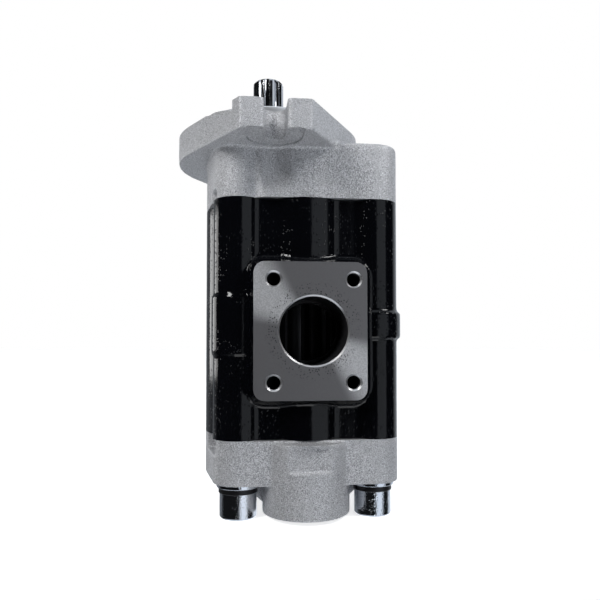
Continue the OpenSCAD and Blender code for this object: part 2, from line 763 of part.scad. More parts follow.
// Internal retaining ring with two eared ends
module seal_retaining_ring() {
  outer = ring_groove_d / 2 - ring_play;
  section = 2.6;
  ear_x = 4.4;
  ear_r = 2.8;
  mouth = 3.2;
  color(dark_steel) translate([0, 0, ring_z + ring_play / 2]) linear_extrude(ring_t) difference() {
    union() {
      difference() {
        circle(r = outer, $fn = 96);
        translate([0, 0.6]) circle(r = outer - section, $fn = 96);
      }
      intersection() {
        circle(r = outer - 1.2, $fn = 96);
        for (sx = [-1, 1]) translate([sx * ear_x, mouth - outer]) circle(r = ear_r);
      }
    }
    translate([-mouth / 2, -outer - 1]) square([mouth, 3 * section]);
    for (sx = [-1, 1]) translate([sx * ear_x, mouth - outer + 0.4]) circle(d = 2);
  }
}

module dowel_pins() {
  color(steel) for (p = DOWELS, z = [joint_front, joint_rear])
    translate(p) bore(dowel_d, z - dowel_l / 2, z + dowel_l / 2);
}

module cap_screws() {
  color(steel) for (p = SCREWS) translate(p) difference() {
    union() {
      bore(screw_d, spring_end - 1, screw_tip - screw_point);
      translate([0, 0, screw_tip - screw_point])
        cylinder(d1 = screw_d, d2 = screw_d - 2 * screw_point, h = screw_point);
      bore(head_d, head_end + head_chamfer, spring_end);
      translate([0, 0, head_end]) cylinder(d1 = head_d - 2 * head_chamfer, d2 = head_d, h = head_chamfer);
    }
    translate([0, 0, head_end - 1]) cylinder(d = socket_af / cos(30), h = socket_depth + 1, $fn = 6);
  }
}

module spring_washers() {
  color(dark_steel) for (p = SCREWS) translate(p) difference() {
    bore(spring_d, spring_end, washer_end);
    bore(screw_d + 0.5, spring_end - 1, washer_end + 1);
    rotate([0, 0, p[1] < 0 ? 200 : 20]) translate([spring_d / 2 - 2, 0, (spring_end + washer_end) / 2])
      rotate([30, 0, 0]) cube([spring_d / 3, spring_split, 3 * spring_t], center = true);
  }
}

module flat_washers() {
  color(steel) for (p = SCREWS) translate(p) difference() {
    bore(washer_d, washer_end, cover_end);
    bore(screw_hole_d, washer_end - 1, cover_end + 1);
  }
}

front_cover();
pump_body();
rear_cover();
drive_gear_shaft();
driven_gear_shaft();
front_bearing_block();
rear_bearing_block();
front_drive_bush();
front_driven_bush();
rear_drive_bush();
rear_driven_bush();
front_block_seal();
rear_block_seal();
front_backup_ring();
rear_backup_ring();
front_body_seal();
rear_body_seal();
shaft_seal();
seal_garter_spring();
seal_retaining_ring();
dowel_pins();
cap_screws();
spring_washers();
flat_washers();
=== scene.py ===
# %% [markdown]
# # An external gear pump
# Two castings of bare aluminium close a body of black painted iron, and four long screws clamp
# them together. A splined shaft comes out through the flange. The bodies in the frame say what
# turns: the drive gear with its shaft, and the driven gear that meshes with it.
# The frame brings every solid in its place. What shows from outside gets a finer mesh here, with
# cast edges and real teeth. What is hidden keeps its solid and only gets its finish.

import math

import bmesh
import bpy
from mathutils import Matrix, Vector
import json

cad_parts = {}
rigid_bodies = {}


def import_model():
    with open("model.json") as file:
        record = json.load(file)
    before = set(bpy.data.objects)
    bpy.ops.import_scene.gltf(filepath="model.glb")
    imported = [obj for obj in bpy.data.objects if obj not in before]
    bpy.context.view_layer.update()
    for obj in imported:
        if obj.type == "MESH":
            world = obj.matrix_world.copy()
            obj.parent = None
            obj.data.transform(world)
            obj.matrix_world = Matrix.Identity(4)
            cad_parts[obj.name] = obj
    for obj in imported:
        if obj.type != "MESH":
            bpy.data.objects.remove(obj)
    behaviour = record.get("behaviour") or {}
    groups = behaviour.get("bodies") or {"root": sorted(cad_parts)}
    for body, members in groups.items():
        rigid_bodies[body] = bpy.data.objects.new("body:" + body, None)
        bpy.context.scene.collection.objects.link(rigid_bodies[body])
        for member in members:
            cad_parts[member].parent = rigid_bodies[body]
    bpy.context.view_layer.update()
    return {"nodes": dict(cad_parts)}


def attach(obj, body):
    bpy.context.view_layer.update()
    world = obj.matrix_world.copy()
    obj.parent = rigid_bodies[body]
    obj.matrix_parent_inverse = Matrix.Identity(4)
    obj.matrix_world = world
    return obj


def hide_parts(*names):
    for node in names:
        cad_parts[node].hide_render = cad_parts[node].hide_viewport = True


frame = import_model()
SCENE = bpy.context.scene
SCENE.view_settings.view_transform = "Standard"
MM = 0.001

# %% [markdown]
# ## The camera
# The photo was taken with a short lens from a little below the middle of the pump, so the
# flange is seen from underneath. Position, yaw and pitch were fitted to the edges of the part.
# The lens is shifted upwards for the rest, because more pitch would make the sides converge.


# %% Camera
def put(name, data):
    """A new object in the scene, for a camera, a lamp or a mesh."""
    thing = bpy.data.objects.new(name, data)
    SCENE.collection.objects.link(thing)
    return thing


EYE = Vector((-0.02326, -0.44610, -0.14331))
YAW, PITCH = math.radians(5.961), math.radians(1.950)
SENSOR, PICTURE = 36, 600
FOCAL_LENGTH, LENS_RISE = 617, 20.1  # in pixels of the picture
lens = bpy.data.cameras.new("photo_lens")
lens.sensor_width = SENSOR
lens.lens = SENSOR * FOCAL_LENGTH / PICTURE
lens.shift_y = LENS_RISE / PICTURE
camera = put("photo_camera", lens)
camera.location = EYE
forward = Vector((math.sin(YAW), math.cos(YAW), 0))
aim = forward * math.cos(PITCH) + Vector((0, 0, math.sin(PITCH)))
camera.rotation_euler = aim.to_track_quat("-Z", "Y").to_euler()
SCENE.camera = camera
print("camera at", [round(v, 3) for v in EYE], "with a lens of", round(lens.lens, 1), "mm")

# %% [markdown]
# ## Skins
# Every casting starts as a few closed skins: rings of points joined by walls and capped at both
# ends. A prism is two rings, and anything turned on a lathe is one ring for each step of its
# profile. Sizes are written in millimetres, as on the drawing, and scaled once. Primitives could
# do this too, but a ring says each size in the place where it is used.


# %% Rings of points
def circle(x, y, r, n=96):
    """Points of a circle in a plan, in millimetres."""
    turns = [2 * math.pi * i / n for i in range(n)]
    return [(x + r * math.cos(a), y + r * math.sin(a)) for a in turns]


def box(x0, x1, y0, y1):
    return [(x0, y0), (x1, y0), (x1, y1), (x0, y1)]


def rounded(w, h, r, n=10):
    """A rectangle with round corners, centred on its middle."""
    out = []
    for cx, cy, start in ((1, 1, 0), (-1, 1, 90), (-1, -1, 180), (1, -1, 270)):
        for i in range(n + 1):
            a = math.radians(start + 90 * i / n)
            out.append((cx * (w / 2 - r) + r * math.cos(a), cy * (h / 2 - r) + r * math.sin(a)))
    return out


print("points in a circle:", len(circle(0, 0, 1)), "| in a rounded rectangle:", len(rounded(4, 4, 1)))


# %% Skins from rings
def skin(rings, loop=False):
    """A closed skin through rings of points; loop joins the last ring to the first one."""
    return [[Vector(p) * MM for p in ring] for ring in rings], loop


def prism(plan, low, high):
    return skin([[(x, y, z) for x, y in plan] for z in (low, high)])


def turned(profile, x=0, y=0, n=96):
    """Turned about a line along Z through x, y; the profile holds (radius, level) steps."""
    return skin([[(px, py, z) for px, py in circle(x, y, r, n)] for r, z in profile])


def turned_side(profile, x, z, side, n=128):
    """Turned about a line along Y, for the ports; side is -1 in front and 1 behind."""
    rings = []
    for r, reach in profile:
        rings.append([(x + px, side * reach, z + pz) for px, pz in circle(0, 0, r, n)])
    return skin(rings)


print("rings in a bar with a chamfer:", len(turned([(5, 0), (5, 9), (4, 10)])[0]))


# %% One mesh from several skins
def mesh_from(skins, name, material=None):
    """One mesh object from several closed skins, with every skin's faces pointing outwards."""
    bm = bmesh.new()
    for rings, loop in skins:
        made = [[bm.verts.new(p) for p in ring] for ring in rings]
        pairs = list(zip(made, made[1:] + made[:1] if loop else made[1:]))
        faces = []
        for low, high in pairs:
            n = len(low)
            for i in range(n):
                faces.append(bm.faces.new((low[i], low[(i + 1) % n], high[(i + 1) % n], high[i])))
        if not loop:
            faces.append(bm.faces.new(list(reversed(made[0]))))
            faces.append(bm.faces.new(made[-1]))
        bmesh.ops.recalc_face_normals(bm, faces=faces)
    mesh = bpy.data.meshes.new(name)
    bm.to_mesh(mesh)
    bm.free()
    if material:
        mesh.materials.append(material)
    return put(name, mesh)


def triangles(thing):
    return sum(len(p.vertices) - 2 for p in thing.data.polygons)


print("mesh_from and triangles ready")


# %% Plain meshes, joined meshes and shading
def plain(thing, name):
    """The evaluated shape of an object as a plain mesh of its own; the first object goes."""
    view = bpy.context.evaluated_depsgraph_get()
    mesh = bpy.data.meshes.new_from_object(thing.evaluated_get(view), depsgraph=view)
    mesh.name = name
    bpy.data.objects.remove(thing)
    return put(name, mesh)


def join(things, name):
    """Several objects' meshes as one object."""
    bm = bmesh.new()
    materials = []
    for thing in things:
        before = len(bm.faces)
        bm.from_mesh(thing.data)
        bm.faces.ensure_lookup_table()
        for face in bm.faces[before:]:
            material = thing.data.materials[face.material_index]
            if material not in materials:
                materials.append(material)
            face.material_index = materials.index(material)
    mesh = bpy.data.meshes.new(name)
    bm.to_mesh(mesh)
    bm.free()
    for material in materials:
        mesh.materials.append(material)
    for thing in things:
        bpy.data.objects.remove(thing)
    return put(name, mesh)


def shade(thing, angle=32):
    """Smooth faces, with edges sharper than the angle kept sharp."""
    thing.data.shade_smooth()
    thing.data.set_sharp_from_angle(angle=math.radians(angle))
    return thing


print("plain, join and shade ready")

# %% [markdown]
# ## Surface effects that several finishes share
# Blasted castings, painted iron and machined faces differ in grain and in tool marks. Each
# effect is a small group of shader nodes with its own inputs, built once and placed in each
# material with other values. The groups put out only masks and heights, and the shaders stay in
# the materials.


# %% Helpers for node trees
def add(tree, kind, props=None, **inputs):
    """A node with its properties and inputs; an input is a value or another node's output."""
    node = tree.nodes.new(kind)
    for key, value in (props or {}).items():
        setattr(node, key, value)
    for key, value in inputs.items():
        name = key.replace("_", " ").strip()
        socket = node.inputs[int(name)] if name.isdigit() else node.inputs[name]
        if isinstance(value, bpy.types.NodeSocket):
            tree.links.new(value, socket)
        else:
            socket.default_value = value
    return node


def math_node(tree, operation, a, b=0.0, c=0.0):
    return add(tree, "ShaderNodeMath", {"operation": operation}, _0=a, _1=b, _2=c).outputs[0]


def times(tree, a, b):
    return math_node(tree, "MULTIPLY", a, b)


def ramp(tree, value, low, high, to_low=0.0, to_high=1.0):
    """A soft step from to_low at low to to_high at high."""
    return add(tree, "ShaderNodeMapRange", {"interpolation_type": "SMOOTHSTEP"}, Value=value,
               From_Min=low, From_Max=high, To_Min=to_low, To_Max=to_high).outputs[0]


def coords(tree):
    return tree.nodes.new("ShaderNodeTexCoord").outputs["Object"]


def group(name, inputs, outputs):
    """A shader group with named float inputs and outputs; outputs are filled by the caller."""
    tree = bpy.data.node_groups.new(name, "ShaderNodeTree")
    for label, value in inputs.items():
        socket = tree.interface.new_socket(label, in_out="INPUT", socket_type="NodeSocketFloat")
        socket.default_value = value
    for label in outputs:
        tree.interface.new_socket(label, in_out="OUTPUT", socket_type="NodeSocketFloat")
    return tree, tree.nodes.new("NodeGroupInput").outputs, tree.nodes.new("NodeGroupOutput").inputs


def place(tree, made, **inputs):
    """A group placed in a material, with its own values; gives the group's outputs."""
    node = add(tree, "ShaderNodeGroup", {"node_tree": made})
    for key, value in inputs.items():
        node.inputs[key.replace("_", " ")].default_value = value
    return node.outputs


print("node helpers ready")

# %% [markdown]
# ### Cast grain
# Sand leaves small bumps on a casting and dark pores between them, and blasting leaves light and
# dark specks. A picture of a casting would repeat and stretch. Noise on the object's own
# coordinates does neither, and its grain size is a real length in millimetres.

# %% The cast grain group
GRAIN, given, out = group(
    "cast_grain", {"Grain Size": 0.8, "Pore Share": 0.3}, ["Height", "Pores", "Clouds", "Salt"])
where = coords(GRAIN)
per_metre = math_node(GRAIN, "DIVIDE", 1000.0, given["Grain Size"])


def grain_noise(scale, detail, roughness=0.5):
    return add(GRAIN, "ShaderNodeTexNoise", Vector=where, Scale=scale, Detail=detail,
               Roughness=roughness).outputs[0]


fine = grain_noise(per_metre, 2.0, 0.65)
coarse = grain_noise(times(GRAIN, per_metre, 0.28), 1.0)
cells = add(GRAIN, "ShaderNodeTexVoronoi", Vector=where, Scale=times(GRAIN, per_metre, 0.75),
            Randomness=1.0).outputs
pick = add(GRAIN, "ShaderNodeSeparateColor", Color=cells["Color"]).outputs[0]
chosen = math_node(GRAIN, "LESS_THAN", pick, given["Pore Share"])
pores = times(GRAIN, chosen, ramp(GRAIN, cells["Distance"], 0.42, 0.12))
bumps = math_node(GRAIN, "ADD", times(GRAIN, coarse, 0.8), fine)
height = math_node(GRAIN, "SUBTRACT", bumps, times(GRAIN, pores, 0.5))
salt = ramp(GRAIN, grain_noise(times(GRAIN, per_metre, 1.3), 0.0), 0.32, 0.68)
clouds = ramp(GRAIN, grain_noise(45.0, 3.0), 0.3, 0.7)
for label, value in (("Height", height), ("Pores", pores), ("Salt", salt), ("Clouds", clouds)):
    GRAIN.links.new(value, out[label])
print("group:", GRAIN.name, "with", len(GRAIN.nodes), "nodes")

# %% [markdown]
# ### Tool marks
# A facing cutter leaves fine rings round its centre. They catch the light in two opposite fans.
# The group gives the rings as a height, the fans as a painted sheen (a mask for colour that
# stands in for that reflection), and the distance from the centre.

# %% The tool marks group
WAVES = 6283.0  # two pi for each millimetre, on lengths in metres
MARKS, given, out = group(
    "tool_marks", {"Centre X": 0.0, "Centre Y": 0.0, "Centre Z": 0.0, "Pitch": 0.5},
    ["Height", "Painted Sheen", "Reach"])
centre = add(MARKS, "ShaderNodeCombineXYZ", X=given["Centre X"], Y=given["Centre Y"],
             Z=given["Centre Z"]).outputs[0]
arm = add(MARKS, "ShaderNodeVectorMath", {"operation": "SUBTRACT"}, _0=coords(MARKS),
          _1=centre).outputs[0]
reach = add(MARKS, "ShaderNodeVectorMath", {"operation": "LENGTH"}, _0=arm).outputs["Value"]
wander = add(MARKS, "ShaderNodeTexNoise", Vector=coords(MARKS), Scale=60.0, Detail=2.0).outputs[0]
rings = math_node(MARKS, "DIVIDE", times(MARKS, reach, WAVES), given["Pitch"])
wave = math_node(MARKS, "SINE", math_node(MARKS, "ADD", rings, times(MARKS, wander, 9.0)))
parts = add(MARKS, "ShaderNodeSeparateXYZ", Vector=arm).outputs
# The fans of the painted sheen: two opposite wedges round the centre where colour is made lighter.
fans = math_node(MARKS, "MULTIPLY_ADD", math_node(MARKS, "ARCTAN2", parts["Z"], parts["X"]), 2.0, 1.25)
painted_sheen = ramp(MARKS, math_node(MARKS, "COSINE", fans), 0.5, 1.0)
MARKS.links.new(math_node(MARKS, "MULTIPLY_ADD", wave, 0.5, 0.5), out["Height"])
MARKS.links.new(painted_sheen, out["Painted Sheen"])
MARKS.links.new(reach, out["Reach"])
print("group:", MARKS.name, "with", len(MARKS.nodes), "nodes")

# %% [markdown]
# ## Finishes
# One function makes a material around a Principled shader. Constant values sit on the shader's
# own sockets; only what changes over the surface is linked.


# %% A finish
def finish(name, colour, roughness, metallic=0.0, **constants):
    """A material, its tree and its shader's sockets."""
    made = bpy.data.materials.new(name)
    made.use_nodes = True
    tree = made.node_tree
    shader = tree.nodes["Principled BSDF"]
    shader.inputs["Base Color"].default_value = (*colour, 1)
    shader.inputs["Roughness"].default_value = roughness
    shader.inputs["Metallic"].default_value = metallic
    for key, value in constants.items():
        shader.inputs[key.replace("_", " ")].default_value = value
    return made, tree, shader.inputs


def mix(tree, factor, a, b):
    """Colour between a and b by a factor that changes over the surface."""
    node = add(tree, "ShaderNodeMix", {"data_type": "RGBA"})
    # Its sockets for numbers and vectors lie between the factor and the two colours.
    for socket, value in ((node.inputs[0], factor), (node.inputs[6], a), (node.inputs[7], b)):
        if isinstance(value, bpy.types.NodeSocket):
            tree.links.new(value, socket)
        else:
            socket.default_value = (*value, 1) if isinstance(value, tuple) else value
    return node.outputs[2]


def bump(tree, height, metres, sockets):
    node = add(tree, "ShaderNodeBump", Height=height, Distance=metres, Strength=1.0)
    tree.links.new(node.outputs[0], sockets["Normal"])


def even_finish(name, colour, roughness, metallic, grain_size, metres):
    """A finish of one colour, with grain in its surface alone."""
    made, tree, sockets = finish(name, colour, roughness, metallic)
    bump(tree, place(tree, GRAIN, Grain_Size=grain_size)["Height"], metres, sockets)
    return made


print("finish helpers ready")

# %% [markdown]
# ### Aluminium
# The covers are blasted castings: a satin grey with a salt of light and dark specks, and a few
# pores. Where a tool has faced them, the metal is lighter and smoother, with fine rings.

# %% Cast aluminium
CAST_ALUMINIUM, tree, sockets = finish("cast_aluminium", (0.5, 0.51, 0.53), 0.5, 0.45)
grain = place(tree, GRAIN, Grain_Size=0.46, Pore_Share=0.12)
dark_speck, light_speck = (0.16, 0.163, 0.17), (0.735, 0.74, 0.765)
cloud_grey, pore_grey = (0.55, 0.555, 0.575), (0.2, 0.2, 0.22)
tone = mix(tree, grain["Salt"], dark_speck, light_speck)
tone = mix(tree, times(tree, grain["Clouds"], 0.2), tone, cloud_grey)
tone = mix(tree, times(tree, grain["Pores"], 0.5), tone, pore_grey)
tree.links.new(tone, sockets["Base Color"])
tree.links.new(ramp(tree, grain["Height"], 0.5, 1.3, 0.6, 0.4), sockets["Roughness"])
bump(tree, grain["Height"], 0.00026, sockets)
print(CAST_ALUMINIUM.name, "has", len(tree.nodes), "nodes")

# %% Machined aluminium
MACHINED_ALUMINIUM, tree, sockets = finish("machined_aluminium", (0.66, 0.67, 0.69), 0.34, 0.7)
marks = place(tree, MARKS, Pitch=0.45)
tone = mix(tree, marks["Height"], (0.60, 0.61, 0.63), (0.70, 0.71, 0.73))
tree.links.new(tone, sockets["Base Color"])
bump(tree, marks["Height"], 0.00001, sockets)
print(MACHINED_ALUMINIUM.name, "has", len(tree.nodes), "nodes")

# %% [markdown]
# ### Painted and machined iron
# The body's gloss black follows the casting under it: where the skin is dimpled, each dimple
# holds a small glint. The faces and bores are cut after painting, so they are bare. The cut face
# gets a painted sheen, two fans of lighter colour that stand in for its reflection. The bores and
# holes get a near-black colour that is painted shade. Round the suction bore the cut face keeps
# dark pits from the casting.

# %% Black paint over cast iron
BLACK_PAINT, tree, sockets = finish("black_paint", (0.0018, 0.002, 0.003), 0.12, 0.0, Specular_IOR_Level=0.24)
grain = place(tree, GRAIN, Grain_Size=1.3, Pore_Share=0.45)
tree.links.new(ramp(tree, grain["Clouds"], 0.0, 1.0, 0.07, 0.12), sockets["Roughness"])
patches = math_node(tree, "MULTIPLY_ADD", ramp(tree, grain["Clouds"], 0.1, 0.7), 0.9, 0.1)
dimples = times(tree, grain["Pores"], patches)
bump(tree, math_node(tree, "MULTIPLY_ADD", grain["Height"], 0.12, dimples), 0.00014, sockets)
print(BLACK_PAINT.name, "has", len(tree.nodes), "nodes")

# %% The machined face of the iron
MACHINED_IRON, tree, sockets = finish("machined_iron", (0.33, 0.335, 0.34), 0.4, 0.6)
marks = place(tree, MARKS, Centre_X=0.025, Centre_Y=-0.068, Centre_Z=-0.137, Pitch=0.6)
pits = place(tree, GRAIN, Grain_Size=1.05, Pore_Share=0.95)
near_bore = ramp(tree, marks["Reach"], 0.0325, 0.026)
patchy = ramp(tree, pits["Clouds"], 0.12, 0.4)
amount = times(tree, times(tree, near_bore, patchy), pits["Pores"])
# Painted sheen: two fans of lighter colour stand in for the cut face's reflection.
tone = mix(tree, marks["Painted Sheen"], (0.15, 0.147, 0.152), (0.6, 0.6, 0.61))
tone = mix(tree, times(tree, pits["Salt"], 0.3), tone, (0.17, 0.17, 0.175))
tree.links.new(mix(tree, amount, tone, (0.02, 0.02, 0.02)), sockets["Base Color"])
bump(tree, marks["Height"], 0.00001, sockets)
print(MACHINED_IRON.name, "has", len(tree.nodes), "nodes")

# %% Bright chamfers, and bores painted dark as shade
BRIGHT_EDGE = even_finish("bright_cut_edge", (0.75, 0.75, 0.76), 0.3, 0.9, 0.8, 0.00003)
# Bores, holes and grooves get a near-black colour: painted shade for their insides.
BORE_PAINTED_SHADE = even_finish("bore_painted_shade", (0.02, 0.02, 0.022), 0.45, 0.3, 1.2, 0.00004)
print(BRIGHT_EDGE.name, BORE_PAINTED_SHADE.name)

# %% [markdown]
# ### Steel
# The splined end is ground and mirrors the room, while the gears get a near-black colour that
# is painted shade for the inside of the body. Zinc on the screws and flat washers is a bluish
# mirror with a slight orange peel, and the spring washers are black.

# %% Ground, plated and black steel, and gears painted dark as shade
GROUND_STEEL, tree, sockets = finish("ground_steel", (0.5, 0.51, 0.53), 0.1, 1.0)
grain = place(tree, GRAIN, Grain_Size=0.5, Pore_Share=0.05)
tree.links.new(ramp(tree, grain["Clouds"], 0.0, 1.0, 0.06, 0.14), sockets["Roughness"])
bump(tree, grain["Height"], 0.000001, sockets)

ZINC_PLATE, tree, sockets = finish("zinc_plate", (0.74, 0.77, 0.82), 0.14, 1.0)
grain = place(tree, GRAIN, Grain_Size=1.1, Pore_Share=0.3)
tone = mix(tree, grain["Clouds"], (0.66, 0.70, 0.76), (0.78, 0.80, 0.84))
tree.links.new(tone, sockets["Base Color"])
bump(tree, grain["Height"], 0.00016, sockets)

# The gears' near-black colour is painted shade for the inside of the body.
GEAR_PAINTED_SHADE = even_finish("oiled_gear_steel", (0.035, 0.035, 0.038), 0.3, 0.6, 0.5, 0.000006)
BLACK_OXIDE = even_finish("black_oxide", (0.018, 0.018, 0.02), 0.35, 0.6, 0.9, 0.00003)
print(GROUND_STEEL.name, ZINC_PLATE.name, GEAR_PAINTED_SHADE.name, BLACK_OXIDE.name)

# %% [markdown]
# ### Bronze, rubber and plastic
# Plain bushes are turned bronze. The seals are dull black rubber, and the rings that back them
# are a pale hard plastic.

# %% Bushes, seals and backup rings
BUSH_BRONZE, tree, sockets = finish("bush_bronze", (0.45, 0.29, 0.12), 0.3, 1.0)
marks = place(tree, MARKS, Pitch=0.4)
tone = mix(tree, marks["Height"], (0.38, 0.24, 0.10), (0.50, 0.33, 0.15))
tree.links.new(tone, sockets["Base Color"])

SEAL_RUBBER = even_finish("seal_rubber", (0.014, 0.014, 0.015), 0.55, 0.0, 0.6, 0.00002)
RING_PLASTIC = even_finish("ring_plastic", (0.62, 0.58, 0.48), 0.5, 0.0, 0.7, 0.00001)
print("finishes:", len(bpy.data.materials))

# %% [markdown]
# ## Castings
# A foundry pours a blank with soft edges, and a shop then machines its joints, faces and bores.
# The script does the same. Voxel remeshing melts the skins into one blank, smoothing rounds its
# edges and fills its corners, a faint displacement gives the skin of the sand, and exact
# booleans then cut what is machined, so that those edges stay crisp. Bevels could not round the
# crossings of so many shapes.


# %% Cutting, melting and softening
def cut(blank, skins, material, label):
    """An exact cut that gives the new faces a material of their own."""
    tool = mesh_from([skins], label, material)
    tool.hide_render = True
    modifier = blank.modifiers.new(label, "BOOLEAN")
    modifier.operation, modifier.solver = "DIFFERENCE", "MANIFOLD"
    modifier.material_mode, modifier.object = "TRANSFER", tool
    return tool


def melt(blank, voxel):
    modifier = blank.modifiers.new("melt", "REMESH")
    modifier.mode, modifier.voxel_size = "VOXEL", voxel * MM


def soften(blank, name, hollows, voxel, rounding, material):
    """Melts a blank, cuts its cast hollows, melts it again and rounds every edge."""
    melt(blank, voxel)
    patterns = [cut(blank, skins, material, f"{name}_hollow_{i}") for i, skins in enumerate(hollows)]
    if hollows:
        melt(blank, voxel)
    modifier = blank.modifiers.new("round", "SMOOTH")
    modifier.factor, modifier.iterations = 0.5, rounding
    return patterns


def finished(blank, name, tools):
    """The blank with all its modifiers as a plain mesh; the tools go."""
    made = plain(blank, name)
    for tool in tools:
        bpy.data.objects.remove(tool)
    return made


print("cut, melt and soften ready")

# %% From blank to casting
SAND = ((0.011, 0.16), (0.0032, 0.07))  # each size in metres, with its depth in millimetres


def poured(name, solids, hollows, voxel, rounding, material):
    """A very soft blank with cast hollows, as a plain mesh that a casting can grow from."""
    blank = mesh_from(solids, name, material)
    return finished(blank, name, soften(blank, name, hollows, voxel, rounding, material))


def casting(name, solids, hollows, cuts, voxel, rounding, material, core=None, sand=1.0):
    """Pours a blank, roughens its skin and machines it; a core is a softer blank that joins it."""
    blank = mesh_from(solids, name + "_blank", material)
    if core:
        blank = join([blank, core], name + "_whole")
    helpers = soften(blank, name, hollows, voxel, rounding, material)
    for size, depth in SAND:
        grains = bpy.data.textures.new(f"{name}_sand_{size}", "CLOUDS")
        grains.noise_scale = size
        modifier = blank.modifiers.new("sand", "DISPLACE")
        modifier.texture, modifier.texture_coords = grains, "LOCAL"
        modifier.strength, modifier.mid_level = depth * sand * MM, 0.5
    for surface, tools in cuts:
        for skins in tools:
            helpers.append(cut(blank, skins, surface, f"{name}_tool_{len(helpers)}"))
    made = finished(blank, name, helpers)
    bm = bmesh.new()
    bm.from_mesh(made.data)
    bmesh.ops.remove_doubles(bm, verts=bm.verts, dist=1e-7)
    open_edges = sum(1 for e in bm.edges if not e.is_manifold)
    bm.to_mesh(made.data)
    bm.free()
    print(f"{name}: {triangles(made)} triangles, {open_edges} open edges")
    return shade(made, 24)


print("sand sizes:", [size for size, depth in SAND])

# %% [markdown]
# ## What the castings share
# All three castings have one plan: a round over each gear, four bolt bosses and straight walls
# between them. Screws, dowels and joints are in the same places too, so they are named once.

# %% Shared sizes
GEARS = (0, 46)
MID = 23
SIDE, BOSS = 44, 16.5
SCREW_X, SCREW_Y = 44.25, 40.6
SCREWS = [(MID + sx * SCREW_X, sy * SCREW_Y) for sx in (-1, 1) for sy in (-1, 1)]
LEFT, RIGHT = MID - SCREW_X, MID + SCREW_X
DOWELS = [(11, -44.5), (35, 44.5)]
JOINT_FRONT, JOINT_REAR, COVER_END = -51.5, -206, -234.5
BODY_WALL, COVER_WALL = 53, 57.1
CHAMBER_R, JOURNAL_ROOM_R = 27.45, 11
SCREW_HOLE_R, FRONT_SCREW_HOLE_R, DOWEL_R = 8.5, 8.1, 4
PORT_X, PORT_Z = 25, -137
BLANK = 4  # stock that the joints lose to the cutter
print("screws at", SCREWS)


# %% Shared plans and tools
def bosses(places, r, low, high, n=96):
    return [prism(circle(x, y, r, n), low, high) for x, y in places]


def casting_plan(low, high, wall):
    """Skins of the plan that all three castings share, between two levels."""
    out = bosses([(x, 0) for x in GEARS], SIDE, low, high, 128)
    out.append(prism(box(LEFT - BOSS, RIGHT + BOSS, -SCREW_Y, SCREW_Y), low, high))
    out.append(prism(box(LEFT, RIGHT, -wall, wall), low, high))
    return out + bosses(SCREWS, BOSS, low, high)


def side_plan(side):
    """The side of a cover: straight faces from the side's round onto its two bolt bosses."""
    inward = RIGHT - GEARS[1]
    turn = math.atan2(SCREW_Y, inward) - math.acos((SIDE - BOSS) / math.hypot(inward, SCREW_Y))
    c, s = math.cos(turn), math.sin(turn)
    half = [(SIDE * c, SIDE * s), (inward + BOSS * c, SCREW_Y + BOSS * s), (inward, SCREW_Y)]
    axis = GEARS[1] if side > 0 else GEARS[0]
    return [(axis + side * x, y) for x, y in half] + [(axis + side * x, -y) for x, y in reversed(half)]


def away(level, towards):
    """A tool that clears everything beyond a level, above or below it."""
    return turned([(130, level), (130, level + towards * 40)], MID, 0)


def holes(places, r, low, high):
    return [turned([(r, low), (r, high)], x, y, 48) for x, y in places]


def pry_pocket(side, near, low, high):
    """A pocket for a prying bar in a cover's left face, on one side of the middle."""
    return prism(box(-50, -35.5, *sorted((side * near, side * 49.1))), low, high)


print("skins in the shared plan:", len(casting_plan(0, 1, BODY_WALL)))

# %% [markdown]
# ## Front cover
# The ears are drawn out of a round flange along its tangents. The slots, the wrench scallops and
# the scoop beside the near ear are cast, and so soft; the mounting face with its pilot, the spot
# faces and the bores are turned or milled.

# %% Flange, ears and open slots
FLANGE_R, EAR_W, EAR_Y, SLOT_Y, FLANGE_T = 63.75, 43, 88.5, 73, 18.5
SLOT_R, MOUTH, SPOT_R, PAST_EAR = 7.15, 8.6, 17.5, 6
turn = math.atan2(EAR_Y, EAR_W / 2) - math.acos(FLANGE_R / math.hypot(EAR_W / 2, EAR_Y))
TANGENT = (FLANGE_R * math.cos(turn), FLANGE_R * math.sin(turn))


def ear(side):
    (tx, ty), w, y = TANGENT, EAR_W / 2, side * EAR_Y
    return prism([(-w, y), (w, y), (tx, side * ty), (-tx, side * ty)], -FLANGE_T, BLANK)


def slot_end(side, r):
    """Half a circle round the end of a slot."""
    turns = [math.radians(a) for a in range(0, 181, 6)]
    return [(r * math.cos(a), side * SLOT_Y - side * r * math.sin(a)) for a in turns]


def slot_plan(side):
    """A slot with a small flare at its mouth."""
    neck, lip, far = side * (EAR_Y - 1.2), side * EAR_Y, side * (EAR_Y + PAST_EAR)
    return slot_end(side, SLOT_R) + [(-SLOT_R, neck), (-MOUTH, lip), (-MOUTH, far), (MOUTH, far),
                                     (MOUTH, lip), (SLOT_R, neck)]


def spot_plan(side):
    far = side * (EAR_Y + PAST_EAR)
    return slot_end(side, SPOT_R) + [(-SPOT_R, far), (SPOT_R, far)]


print("ears leave the flange at", [round(v, 1) for v in TANGENT])


